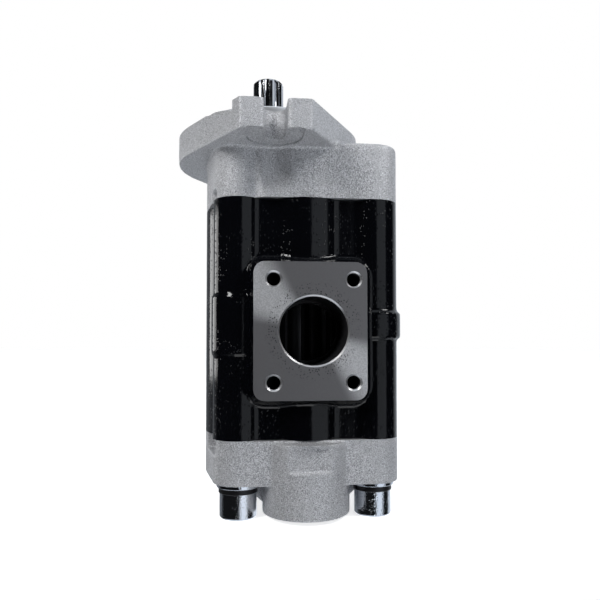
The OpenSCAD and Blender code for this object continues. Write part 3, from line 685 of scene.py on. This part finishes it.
# %% The scoop in the mounting face
def scoop():
    """The shallow scoop in the mounting face: a long arc, clear of the pilot."""
    depth, length, start, width, clear, steps = 5.8, 32, 9, 20, 52.3, 12
    sweep = (length * length + depth * depth) / (2 * depth)
    foot = math.asin(length / sweep)
    profile = [(start + length, 8), (start, 8)]
    for i in range(steps + 1):
        a = foot * (1 - i / steps)
        profile.append((start + length - sweep * math.sin(a), -sweep * (1 - math.cos(a))))
    corner = Vector((-EAR_W / 2, -EAR_Y))
    along = (Vector((-TANGENT[0], -TANGENT[1])) - corner).normalized()
    outward = Vector((-along.y, along.x))
    outer, inner = [], []
    for reach, z in profile:
        point = corner + along * reach
        past = point.dot(along)
        deep = max(-width, math.sqrt(max(clear * clear - past * past, 0)) - point.dot(outward))
        outer.append((*(point + outward * 6), z))
        inner.append((*(point + outward * deep), z))
    return skin([outer, inner])


print("points along the scoop:", len(scoop()[0][0]))

# %% [markdown]
# ### The soft part under the flange
# Under the flange the cover has the shared plan, with a wall that slopes out to the driven
# gear's side and a scallop below each slot for a wrench. Its edges are much rounder than the
# flange's, so it is poured on its own first and then joins the flange as a core.

# %% Core of the front cover
low, shoulder = JOINT_FRONT - BLANK, -14.5
sloped_wall = [(-16, 50), (-16, -50), (-5, -COVER_WALL), (RIGHT, -COVER_WALL), (RIGHT, COVER_WALL),
               (-5, COVER_WALL)]
solids = casting_plan(low, shoulder, BODY_WALL) + [prism(sloped_wall, low, shoulder)]
solids += [prism(side_plan(side), low, shoulder) for side in (-1, 1)]
scallop = [(17, -47), (19.5, -41), (19.5, -10)]
scallops = [turned(scallop, 0, side * SLOT_Y) for side in (-1, 1)]
core = poured("front_cover_core", solids, scallops, 0.9, 24, CAST_ALUMINIUM)
print("core:", triangles(core), "triangles")

# %% Flange with its cast hollows
PILOT_R, PILOT_H, PILOT_STOCK = 50.8, 9.5, 1.2
pilot = turned([(PILOT_R + PILOT_STOCK, -2), (PILOT_R + PILOT_STOCK, 12)])
solids = [prism(circle(0, 0, FLANGE_R, 128), -FLANGE_T, BLANK), ear(-1), ear(1), pilot]
hollows = [prism(slot_plan(side), -30, 12) for side in (-1, 1)] + [scoop()]
hollows += [pry_pocket(side, 34, low - 1, JOINT_FRONT + 7) for side in (-1, 1)]
print("solids:", len(solids), "| hollows:", len(hollows))

# %% Machining of the front cover
SHAFT_ROOM_R, NECK_R, SEAL_SEAT_R, RING_GROOVE_R = 14.25, 13.5, 20, 21.5
face = turned([(PILOT_R - 1, PILOT_H), (PILOT_R, PILOT_H - 1), (PILOT_R, 0), (130, 0), (130, 30)])
bore = turned([(SHAFT_ROOM_R, -70), (SHAFT_ROOM_R, -43.5), (NECK_R, -43.5), (NECK_R, -11),
               (SEAL_SEAT_R, -11), (SEAL_SEAT_R, -2.95), (RING_GROOVE_R, -2.95), (RING_GROOVE_R, -1.1),
               (SEAL_SEAT_R, -1.1), (SEAL_SEAT_R, 20)])
tools = [away(JOINT_FRONT, -1), face, bore]
tools += holes(SCREWS, FRONT_SCREW_HOLE_R, -60, -23) + holes(DOWELS, DOWEL_R, -60, -43)
tools += holes([(GEARS[1], 0)], JOURNAL_ROOM_R, -60, -47.5)
spots = [prism(spot_plan(side), -44, 1 - FLANGE_T) for side in (-1, 1)]
front_cover = casting(
    "front_cover_casting", solids, hollows, [(MACHINED_ALUMINIUM, tools), (CAST_ALUMINIUM, spots)],
    0.8, 4, CAST_ALUMINIUM, core=core)
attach(front_cover, "housing")
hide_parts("front_cover")

# %% [markdown]
# ## Pump body
# The body is one plan drawn from joint to joint, with a swelling for each port, tapered port
# blocks and two low bands. It keeps its paint where the foundry left it: the port faces, their
# chamfers and the bores are cut through it, each with a material of its own. The bores'
# near-black is painted shade.


# %% Port blocks, seal grooves and threads
def port_block(side, reach, w, h, x):
    """A block with round corners that widens towards the wall it grows from."""
    corner, in_wall, taper = 7, 52, 5
    rings = []
    for y, grow in ((reach + BLANK, 0), (reach - 2, 0), (in_wall, taper)):
        plan = rounded(w + 2 * grow, h + 2 * grow, corner + grow)
        rings.append([(x + px, side * y, PORT_Z + pz) for px, pz in plan])
    return skin(rings)


def seal_groove(low, high):
    """The groove of the cord seal round both chambers, as a closed loop of four rings."""
    turns = [math.radians(a) for a in range(-90, 91, 5)]
    rings = []
    for r, z in ((31.15, low), (34.15, low), (34.15, high), (31.15, high)):
        right = [(GEARS[1] + r * math.cos(a), r * math.sin(a), z) for a in turns]
        rings.append(right + [(-r * math.cos(a), -r * math.sin(a), z) for a in turns])
    return skin(rings, loop=True)


def thread(r, depth, reach, side, x, z):
    """A tapped hole with grooves at the pitch of the thread."""
    profile = [(r, reach + 1)]
    pitch, groove, level = 1.5, 0.7, reach - 1.2
    while level > reach - depth + pitch:
        profile += [(r, level), (r + groove, level - pitch * 0.45), (r, level - pitch * 0.9)]
        level -= pitch
    return turned_side(profile + [(r, reach - depth)], x, z, side, 32)


print("points round a seal groove:", len(seal_groove(0, 1)[0][0]))

# %% Blank of the body
low, high = JOINT_REAR - BLANK, JOINT_FRONT + BLANK
LONG_BAND, SHORT_BAND = (-151.5, -114.5), (-141.5, -124.5)  # from and to, along Z
BAND, WIDE_BAND, BAND_EDGE = 1.2, 2.4, 86.1
solids = casting_plan(low, high, BODY_WALL)
solids += [prism(circle(MID, side * 28.8, 30, 128), low, high) for side in (-1, 1)]
solids += [port_block(-1, 68, 71, 86, 23), port_block(1, 66, 62, 72, 25)]
solids += bosses(SCREWS[:2], BOSS + BAND, *LONG_BAND) + bosses(SCREWS[2:], BOSS + WIDE_BAND, *SHORT_BAND)
solids += [prism(circle(GEARS[1], 0, SIDE + WIDE_BAND, 128), *SHORT_BAND),
           prism(box(RIGHT, BAND_EDGE, -SCREW_Y, SCREW_Y), *SHORT_BAND)]
print("skins in the body:", len(solids))

# %% Machining of the body
TAPPED_R, TAPPED_DEPTH, THROAT_END, THROAT_STEP = 4.25, 18, 9, 29.45
# Each port has its side, the reach of its face, its radius and half its screws' spacing along X and Z.
SUCTION, DISCHARGE = (-1, 68, 21.5, 25, 32), (1, 66, 16, 21, 26)
faces, chamfers, bores = [away(JOINT_REAR, -1), away(JOINT_FRONT, 1)], [], []
for side, reach, r, dx, dz in (SUCTION, DISCHARGE):
    beyond = box(-80, 130, -240, -20)
    faces.append(skin([[(x, side * y, z) for x, z in beyond] for y in (reach, reach + 30)]))
    chamfer = [(r + 2, reach + 1), (r, reach - 1), (r, reach - 1.8)]
    throat = [(r, reach + 1), (r, THROAT_STEP), (r - 2, THROAT_STEP), (r - 2, THROAT_END)]
    chamfers.append(turned_side(chamfer, PORT_X, PORT_Z, side))
    bores.append(turned_side(throat, PORT_X, PORT_Z, side))
    for sx, sz in ((-1, -1), (-1, 1), (1, -1), (1, 1)):
        x, z = PORT_X + sx * dx, PORT_Z + sz * dz
        chamfers.append(turned_side([(6.35, reach + 1), (TAPPED_R, reach - 1.1)], x, z, side, 48))
        bores.append(thread(TAPPED_R, TAPPED_DEPTH, reach, side, x, z))
bores += holes([(x, 0) for x in GEARS], CHAMBER_R, -215, -45) + holes(SCREWS, SCREW_HOLE_R, -215, -45)
bores += holes(DOWELS, DOWEL_R, -60, -43) + holes(DOWELS, DOWEL_R, -215, -197.5)
bores += [seal_groove(JOINT_FRONT - 2.6, JOINT_FRONT + 1), seal_groove(JOINT_REAR - 1, JOINT_REAR + 2.6)]
pump_body = casting(
    "pump_body_casting", solids, [], [(MACHINED_IRON, faces), (BRIGHT_EDGE, chamfers), (BORE_PAINTED_SHADE, bores)],
    1.15, 5, BLACK_PAINT, sand=0.45)
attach(pump_body, "housing")
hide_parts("pump_body")

# %% [markdown]
# ## Rear cover
# The rear cover repeats the plan and carries a blank boss in front and another one behind, each
# with a flat and a web on both sides. The flats and the pockets are cast, so they are hollows of
# the blank and not cuts.

# %% Rear cover
low, high = COVER_END, JOINT_REAR + BLANK
REAR_BOSS_R, REAR_BOSS_Y, FLAT_HALF = 28.5, 40.5, 14.2
boss = [(REAR_BOSS_R, -254.3), (REAR_BOSS_R, -207.5)]
web = [(-48.5, -233.5), (48.5, -233.5), (27.5, -252.3), (-27.5, -252.3)]
flat_y = REAR_BOSS_Y + math.sqrt(REAR_BOSS_R ** 2 - FLAT_HALF ** 2)
solids = casting_plan(low, high, COVER_WALL) + [prism(side_plan(side), low, high) for side in (-1, 1)]
hollows = []
for side in (-1, 1):
    solids.append(turned(boss, MID, side * REAR_BOSS_Y, 128))
    solids.append(skin([[(MID + px, side * wy, pz) for px, pz in web] for wy in (18.1, 25.1)]))
    flat = box(MID - FLAT_HALF - 1, MID + FLAT_HALF + 1, *sorted((side * flat_y, side * 75)))
    hollows.append(prism(flat, -224.7, -208.7))
    hollows.append(pry_pocket(side, 16, -216, high + 1))
tools = [away(JOINT_REAR, 1)] + holes(SCREWS, SCREW_HOLE_R, -245, -200)
tools += holes(DOWELS, DOWEL_R, -214.5, -200) + holes([(x, 0) for x in GEARS], JOURNAL_ROOM_R, -210, -200)
rear_cover = casting(
    "rear_cover_casting", solids, hollows, [(MACHINED_ALUMINIUM, tools)], 0.8, 3, CAST_ALUMINIUM)
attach(rear_cover, "housing")
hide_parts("rear_cover")

# %% [markdown]
# ## One recipe for everything toothed
# A gear and a spline are the same thing to a modeller: one tooth's outline, repeated round an
# axis, filled and drawn out to a length, with the far end cut back to a cone. Geometry Nodes hold
# that recipe once, and the two gears and the splined shaft end only give it numbers.


# %% Geometry Nodes helpers
def shape_tree(name, inputs):
    """A Geometry Nodes tree with a geometry in and out, and named inputs with their defaults."""
    tree = bpy.data.node_groups.new(name, "GeometryNodeTree")
    tree.interface.new_socket("Geometry", in_out="INPUT", socket_type="NodeSocketGeometry")
    for label, value in inputs.items():
        kind = {int: "NodeSocketInt", float: "NodeSocketFloat"}.get(type(value), "NodeSocketMaterial")
        socket = tree.interface.new_socket(label, in_out="INPUT", socket_type=kind)
        if value is not None:
            socket.default_value = value
    tree.interface.new_socket("Geometry", in_out="OUTPUT", socket_type="NodeSocketGeometry")
    return tree, tree.nodes.new("NodeGroupInput").outputs, tree.nodes.new("NodeGroupOutput").inputs


def vector(tree, x=0.0, y=0.0, z=0.0):
    return add(tree, "ShaderNodeCombineXYZ", X=x, Y=y, Z=z).outputs[0]


def together(tree, *things):
    node = tree.nodes.new("GeometryNodeJoinGeometry")
    for thing in things:
        tree.links.new(thing, node.inputs[0])
    return node.outputs[0]


def welded(tree, thing):
    return add(tree, "GeometryNodeMergeByDistance", Geometry=thing, Distance=1e-7).outputs[0]


print("tree helpers ready")


# %% Drawing a flat face out to a solid
def extruded(tree, face, length, **chosen):
    return add(tree, "GeometryNodeExtrudeMesh", Mesh=face, Offset=vector(tree, z=1.0),
               Offset_Scale=length, Individual=False, **chosen).outputs


def draw_out(tree, face, length, end_length, end_radius):
    """A closed solid from a flat face: straight for a length, then cut back to a cone."""
    straight = extruded(tree, face, length)
    end = extruded(tree, straight["Mesh"], end_length, Selection=straight["Top"])
    where = add(tree, "GeometryNodeInputPosition").outputs[0]
    parts = add(tree, "ShaderNodeSeparateXYZ", Vector=where).outputs
    flat = add(tree, "ShaderNodeVectorMath", {"operation": "LENGTH"},
               _0=vector(tree, parts["X"], parts["Y"])).outputs["Value"]
    share = math_node(tree, "DIVIDE", end_radius, math_node(tree, "MAXIMUM", flat, 1e-6))
    share = math_node(tree, "MINIMUM", share, 1.0)
    inside = vector(tree, times(tree, parts["X"], share), times(tree, parts["Y"], share), parts["Z"])
    cone = add(tree, "GeometryNodeSetPosition", Geometry=end["Mesh"], Selection=end["Top"],
               Position=inside).outputs[0]
    under = add(tree, "GeometryNodeFlipFaces", Mesh=face).outputs[0]
    return welded(tree, together(tree, cone, under))


print("draw_out ready")

# %% The toothed bar
BAR, given, out = shape_tree("toothed_bar", {
    "Teeth": 11, "Length": 0.01, "End Length": 0.001, "End Radius": 0.02, "Material": None})
points = add(BAR, "GeometryNodePoints", Count=given["Teeth"]).outputs[0]
index = add(BAR, "GeometryNodeInputIndex").outputs[0]
turn_by = times(BAR, index, math_node(BAR, "DIVIDE", 2 * math.pi, given["Teeth"]))
around = add(BAR, "GeometryNodeInstanceOnPoints", Points=points, Instance=given["Geometry"],
             Rotation=vector(BAR, z=turn_by)).outputs[0]
real = add(BAR, "GeometryNodeRealizeInstances", Geometry=around).outputs[0]
outline = add(BAR, "GeometryNodeMeshToCurve", Mesh=welded(BAR, real)).outputs[0]
filled = add(BAR, "GeometryNodeFillCurve", {"mode": "NGONS"}, Curve=outline).outputs[0]
solid = draw_out(BAR, filled, given["Length"], given["End Length"], given["End Radius"])
solid = add(BAR, "GeometryNodeSetMaterial", Geometry=solid, Material=given["Material"]).outputs[0]
BAR.links.new(solid, out["Geometry"])
print("tree:", BAR.name, "with", len(BAR.nodes), "nodes")


# %% Running a tree on an outline
def run_tree(thing, tree, **values):
    """The tree's result on an object as a plain mesh; values are the tree's named inputs."""
    modifier = thing.modifiers.new(tree.name, "NODES")
    modifier.node_group = tree
    names = {item.name: item.identifier for item in tree.interface.items_tree if item.in_out == "INPUT"}
    for label, value in values.items():
        modifier[names[label.replace("_", " ")]] = value
    return plain(thing, thing.name)


def edges_object(name, path):
    """An object of edges through points given in millimetres."""
    mesh = bpy.data.meshes.new(name)
    links = [(i, i + 1) for i in range(len(path) - 1)]
    mesh.from_pydata([Vector(p) * MM for p in path], links, [])
    return put(name, mesh)


print("run_tree ready")

# %% [markdown]
# ### Teeth
# The gears' flanks are involutes, the curve that lets two gears roll on each other at an even
# speed. Half a tooth's width at a radius is its width at the pitch circle plus the difference of
# two involutes. The spline's teeth are short and straight.


# %% One gear tooth and one spline tooth
PITCH_R, TIP_R, ROOT_R = 23, 27.2, 18.1
TEETH, PRESSURE, BACKLASH = 11, 25, 0.15
SPLINE_TEETH, SPLINE_ROOT_R = 13, 9.2
BASE_R = PITCH_R * math.cos(math.radians(PRESSURE))


def at_angle(r, degrees):
    return (r * math.cos(math.radians(degrees)), r * math.sin(math.radians(degrees)), 0)


def involute(degrees):
    return math.degrees(math.tan(math.radians(degrees))) - degrees


def half_tooth(r):
    """Half the tooth's width, as an angle, at a radius."""
    at_pitch = 90 / TEETH - math.degrees(BACKLASH / (2 * PITCH_R))
    return at_pitch + involute(PRESSURE) - involute(math.degrees(math.acos(min(1, BASE_R / r))))


def outline_of(half, root, step):
    """A tooth from the two sides of its half outline, on to the foot of the next one."""
    both = [at_angle(r, -a) for r, a in half] + [at_angle(r, a) for r, a in reversed(half)]
    return both + [at_angle(root, step - half[0][1])]


flank_radii = [BASE_R + (TIP_R - BASE_R) * i / 6 for i in range(7)]
flank = [(ROOT_R, half_tooth(BASE_R) + 2)] + [(r, half_tooth(r)) for r in flank_radii]
gear_tooth = outline_of(flank, ROOT_R, 360 / TEETH)
SPLINE_STEP = 360 / SPLINE_TEETH
# Half a spline tooth is a share of the step wide at its root, under its chamfer and at its tip.
spline_half = [(SPLINE_ROOT_R, 0.34 * SPLINE_STEP), (10.65, 0.22 * SPLINE_STEP), (10.9, 0.14 * SPLINE_STEP)]
spline_tooth = outline_of(spline_half, SPLINE_ROOT_R, SPLINE_STEP)
print("a gear tooth is", round(2 * half_tooth(PITCH_R), 2), "degrees wide at the pitch circle")

# %% The splined end
SPLINE_LOW, SPLINE_LENGTH, SPLINE_CHAMFER = 4, 39.4, 1.6
CENTRE_STEPS = [(0.2, 37), (2.3, 38.3), (2.3, 43.4), (3.9, 45), (3.9, 47)]
spline = run_tree(edges_object("spline", spline_tooth), BAR, Teeth=SPLINE_TEETH,
                  Length=SPLINE_LENGTH * MM, End_Length=SPLINE_CHAMFER * MM, End_Radius=9.3 * MM,
                  Material=GROUND_STEEL)
spline.data.transform(Matrix.Translation((0, 0, SPLINE_LOW * MM)))
hollow = mesh_from([turned(CENTRE_STEPS, n=48)], "centre", GROUND_STEEL)
modifier = spline.modifiers.new("centre_hole", "BOOLEAN")
modifier.operation, modifier.solver, modifier.object = "DIFFERENCE", "EXACT", hollow
spline = plain(spline, "spline")
bpy.data.objects.remove(hollow)
print("spline:", triangles(spline), "triangles")

# %% The two gear shafts
GEAR_LOW, GEAR_LENGTH, GEAR_EDGE = -175, 75.7, 0.3


def geared(name, x, journals):
    """A gear with its journals, at its place along X, as two meshes to join."""
    gear = run_tree(edges_object(name + "_gear", gear_tooth), BAR, Teeth=TEETH,
                    Length=GEAR_LENGTH * MM, End_Length=GEAR_EDGE * MM,
                    End_Radius=(TIP_R - GEAR_EDGE) * MM, Material=GEAR_PAINTED_SHADE)
    gear.data.transform(Matrix.Translation((x * MM, 0, GEAR_LOW * MM)))
    return [gear, mesh_from([turned(journals, x, 0)], name + "_journals", GEAR_PAINTED_SHADE)]


rear_end = [(12.9, -205.2), (13.5, -204.6)]
drive_steps = rear_end + [(13.5, -44.5), (12.5, -44), (12.5, 4), (11.5, 5)]
driven_steps = rear_end + [(13.5, -52.9), (12.9, -52.3)]
drive = join([spline] + geared("drive", GEARS[0], drive_steps), "drive_shaft_with_gear")
driven = join(geared("driven", GEARS[1], driven_steps), "driven_shaft_with_gear")
for piece, body, node in ((drive, "drive_gear", "drive_gear_shaft"),
                          (driven, "driven_gear", "driven_gear_shaft")):
    shade(piece, 28)
    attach(piece, body)
    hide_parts(node)
    print(piece.name, triangles(piece), "triangles")

# %% [markdown]
# ## Fasteners
# Four M16 socket screws hold the pump together, each over a spring washer and a flat washer. One
# tree draws a screw and another draws a washer, and both set them at the four points they are
# given. A spring washer is the same washer with a gap.


# %% What both fastener trees share
def disc(tree, radius, points):
    return add(tree, "GeometryNodeMeshCircle", {"fill_type": "NGON"}, Vertices=points,
               Radius=radius).outputs[0]


def moved(tree, thing, **by):
    return add(tree, "GeometryNodeTransform", Geometry=thing, **by).outputs[0]


def pierced(tree, thing, *tools):
    node = add(tree, "GeometryNodeMeshBoolean", {"operation": "DIFFERENCE"}, Mesh_1=thing)
    for tool in tools:
        tree.links.new(tool, node.inputs["Mesh 2"])
    return node.outputs["Mesh"]


def end_at_points(tree, given, out, thing):
    """Ends a tree: the thing at each point it was given, upside down, in its material."""
    copies = add(tree, "GeometryNodeInstanceOnPoints", Points=given["Geometry"], Instance=thing,
                 Rotation=(math.pi, 0, 0)).outputs[0]
    real = add(tree, "GeometryNodeRealizeInstances", Geometry=copies).outputs[0]
    real = add(tree, "GeometryNodeSetMaterial", Geometry=real, Material=given["Material"]).outputs[0]
    tree.links.new(real, out["Geometry"])
    print("tree:", tree.name, "with", len(tree.nodes), "nodes")


# %% The cap screw tree
SCREW, given, out = shape_tree("cap_screw", {
    "Head Radius": 0.012, "Head Height": 0.016, "Chamfer": 0.001, "Socket Flats": 0.014,
    "Socket Depth": 0.008, "Shank Radius": 0.008, "Shank Length": 0.2, "Material": None})
POINT = 0.0015  # the chamfer at the end of the shank, in metres
side_length = math_node(SCREW, "SUBTRACT", given["Head Height"], given["Chamfer"])
end_radius = math_node(SCREW, "SUBTRACT", given["Head Radius"], given["Chamfer"])
head = draw_out(SCREW, disc(SCREW, given["Head Radius"], 64), side_length, given["Chamfer"], end_radius)
hexagon = disc(SCREW, math_node(SCREW, "DIVIDE", given["Socket Flats"], math.sqrt(3)), 6)
key_room = draw_out(SCREW, hexagon, given["Socket Depth"], 0.004, 1.0)
rise = math_node(SCREW, "SUBTRACT", given["Head Height"], given["Socket Depth"])
key_room = moved(SCREW, key_room, Translation=vector(SCREW, z=rise))
tip_radius = math_node(SCREW, "SUBTRACT", given["Shank Radius"], POINT)
shank = draw_out(SCREW, disc(SCREW, given["Shank Radius"], 48), given["Shank Length"], POINT, tip_radius)
shank = moved(SCREW, shank, Rotation=(math.pi, 0, 0), Translation=(0, 0, 0.0005))
end_at_points(SCREW, given, out, together(SCREW, pierced(SCREW, head, key_room), shank))

# %% The washer tree
WASHER, given, out = shape_tree("washer", {
    "Outer Radius": 0.014, "Inner Radius": 0.0085, "Thickness": 0.0025, "Edge": 0.0003, "Split": 0.0,
    "Split Angle": 0.0, "Material": None})
thickness = math_node(WASHER, "SUBTRACT", given["Thickness"], given["Edge"])
end_radius = math_node(WASHER, "SUBTRACT", given["Outer Radius"], given["Edge"])
plate = draw_out(WASHER, disc(WASHER, given["Outer Radius"], 64), thickness, given["Edge"], end_radius)
hole = draw_out(WASHER, disc(WASHER, given["Inner Radius"], 48), 0.02, 0.001, 1.0)
hole = moved(WASHER, hole, Translation=(0, 0, -0.01))
gap = add(WASHER, "GeometryNodeMeshCube", Size=vector(WASHER, 0.03, given["Split"], 0.02)).outputs[0]
gap = moved(WASHER, gap, Translation=(0.015, 0, 0))
gap = moved(WASHER, gap, Rotation=vector(WASHER, 0.35, 0.0, given["Split Angle"]))
is_split = math_node(WASHER, "GREATER_THAN", given["Split"], 0.0)
gap = add(WASHER, "GeometryNodeSwitch", {"input_type": "GEOMETRY"}, Switch=is_split, _2=gap).outputs[0]
end_at_points(WASHER, given, out, pierced(WASHER, plate, hole, gap))


# %% Screws and washers in their places
def at_screws(name, level):
    """The four screws' places as points; the tree uses the points and drops the edges."""
    return edges_object(name, [(x, y, level) for x, y in SCREWS])


FLAT_T, SPRING_T, SCREW_LENGTH = 2.5, 3.5, 213.5
under_flats = COVER_END - FLAT_T
screws = run_tree(at_screws("socket_screws", under_flats - SPRING_T), SCREW,
                  Shank_Length=SCREW_LENGTH * MM, Material=ZINC_PLATE)
flats = run_tree(at_screws("plain_washers", COVER_END), WASHER, Thickness=FLAT_T * MM,
                 Material=ZINC_PLATE)
springs = run_tree(at_screws("split_washers", under_flats), WASHER, Outer_Radius=12.65 * MM,
                   Inner_Radius=8.2 * MM, Thickness=SPRING_T * MM, Edge=0.3 * MM, Split=1.0 * MM,
                   Split_Angle=math.radians(160), Material=BLACK_OXIDE)
for piece, node, slot in ((screws, "cap_screws", "plated_steel"), (flats, "flat_washers", "plated_steel"),
                          (springs, "spring_washers", "black_steel")):
    shade(piece)
    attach(piece, "housing")
    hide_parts(node)
    print(piece.name, triangles(piece), "triangles")

# %% [markdown]
# ## Inside and round the shaft
# The solids that the frame brings keep their shapes: the bearing blocks, the bushes, the seals
# and rings, and the dowels. They only get the finish that each one has.

# %% Finishes for the frame's own solids
BY_SLOT = {"block_aluminium": MACHINED_ALUMINIUM, "bush_bronze": BUSH_BRONZE, "seal_rubber": SEAL_RUBBER,
           "ring_plastic": RING_PLASTIC, "black_steel": BLACK_OXIDE, "gear_steel": GROUND_STEEL,
           "plated_steel": ZINC_PLATE, "cast_aluminium": CAST_ALUMINIUM, "black_paint": BLACK_PAINT}
dressed = 0
for node in frame["nodes"].values():
    if node.hide_render:
        continue
    for slot in node.material_slots:
        known = slot.material.name.split(".")[0] if slot.material else ""
        slot.material = BY_SLOT.get(known, MACHINED_ALUMINIUM)
        dressed += 1
print("slots dressed:", dressed)

# %% [markdown]
# ## Light
# The photo has a white sweep all round the pump, a broad softbox on its right, and a dark room
# behind the camera, which the black paint mirrors. The world is that studio, told by direction:
# it costs no lamps, and gloss mirrors it as bands. Four lamps round the camera then light what
# faces it, each placed where the photo's highlights ask for one.


# %% The studio's directions
world = bpy.data.worlds.new("studio")
SCENE.world = world
world.use_nodes = True
tree = world.node_tree
tree.nodes.clear()
looking = tree.nodes.new("ShaderNodeTexCoord").outputs["Generated"]
direction = add(tree, "ShaderNodeSeparateXYZ", Vector=looking).outputs
to_degrees = 180 / math.pi
bearing = math_node(tree, "ARCTAN2", direction["X"], times(tree, direction["Y"], -1.0))
around = times(tree, bearing, to_degrees)
lift = times(tree, math_node(tree, "ARCSINE", direction["Z"]), to_degrees)


def band(value, low, high, soft):
    """One between low and high, falling to nothing over the soft width outside them."""
    return times(tree, ramp(tree, value, low - soft, low), ramp(tree, value, high, high + soft, 1.0, 0.0))


print("directions in the world's tree:", len(tree.nodes), "nodes")

# %% Softbox, sweep and dark room
softbox = times(tree, band(around, 16, 54, 6), band(lift, -35, 16, 6))
upper_box = times(tree, band(around, 28, 50, 4), band(lift, 22, 48, 4))
sweep_right = ramp(tree, around, 98, 118)
sweep_left = ramp(tree, around, -106, -132)
overhead = ramp(tree, lift, 55, 75)
below = ramp(tree, lift, -34, -52)
DARK_ROOM = 0.008
glow = DARK_ROOM
for patch, amount in ((softbox, 1.0), (upper_box, 1.0), (sweep_right, 0.95), (sweep_left, 0.22),
                      (overhead, 0.9), (below, 0.8)):
    glow = math_node(tree, "MAXIMUM", times(tree, patch, amount), glow)
room = add(tree, "ShaderNodeBackground", Color=(0.86, 0.92, 1, 1), Strength=glow).outputs[0]
white = add(tree, "ShaderNodeBackground", Color=(1, 1, 1, 1), Strength=1.0).outputs[0]
ray = tree.nodes.new("ShaderNodeLightPath").outputs["Is Camera Ray"]
seen = add(tree, "ShaderNodeMixShader", _0=ray, _1=room, _2=white).outputs[0]
tree.links.new(seen, tree.nodes.new("ShaderNodeOutputWorld").inputs["Surface"])
print("world ready with", len(tree.nodes), "nodes")

# %% Lamps round the camera
MIDDLE, LAMP_DISTANCE = Vector((0.023, 0, -0.11)), 1.3


def lamp(name, around_deg, lift_deg, width, height, watts):
    """A rectangular lamp that faces the pump's middle from a direction."""
    a, e = math.radians(around_deg), math.radians(lift_deg)
    light = bpy.data.lights.new(name, "AREA")
    light.shape, light.size, light.size_y, light.energy = "RECTANGLE", width, height, watts
    thing = put(name, light)
    arm = Vector((math.sin(a) * math.cos(e), -math.cos(a) * math.cos(e), math.sin(e)))
    thing.location = MIDDLE + arm * LAMP_DISTANCE
    thing.rotation_euler = (-arm).to_track_quat("-Z", "Y").to_euler()
    print(name, "at", [round(v, 2) for v in thing.location])


lamp("left_strip", -47, 38, 0.2, 0.7, 10.5)
lamp("left_panel", -121, 4, 0.7, 0.45, 3.6)
lamp("right_fill", 62, 42, 0.4, 0.4, 8)
lamp("low_front", 0, -52, 0.8, 0.8, 4.2)

# %% [markdown]
# ## Floor
# The pump stands on a pale floor that keeps its shadow. The floor ends just in front of the pump,
# so that the low lamp reaches the underside of the flange, and it hides from mirror rays, which
# would show its edge in the black paint.

# %% A pale floor under the pump
FLOOR_TOP, FLOOR_THICK = -256.7, 2
floor = mesh_from([prism(box(-4000, 4000, -180, 8000), FLOOR_TOP - FLOOR_THICK, FLOOR_TOP)], "floor")
FLOOR, tree, sockets = finish("pale_floor", (0.9, 0.9, 0.9), 0.9, 0.0, Specular_IOR_Level=0.0)
rays = tree.nodes.new("ShaderNodeLightPath").outputs
sockets["Emission Color"].default_value = (1, 1, 1, 1)
tree.links.new(times(tree, rays["Is Camera Ray"], 0.7), sockets["Emission Strength"])
pale = tree.nodes["Principled BSDF"].outputs[0]
clear = tree.nodes.new("ShaderNodeBsdfTransparent").outputs[0]
either = add(tree, "ShaderNodeMixShader", _0=rays["Is Glossy Ray"], _1=pale, _2=clear).outputs[0]
tree.links.new(either, tree.nodes["Material Output"].inputs["Surface"])
floor.data.materials.append(FLOOR)
print("floor at", FLOOR_TOP, "mm")

# %% The end
import json
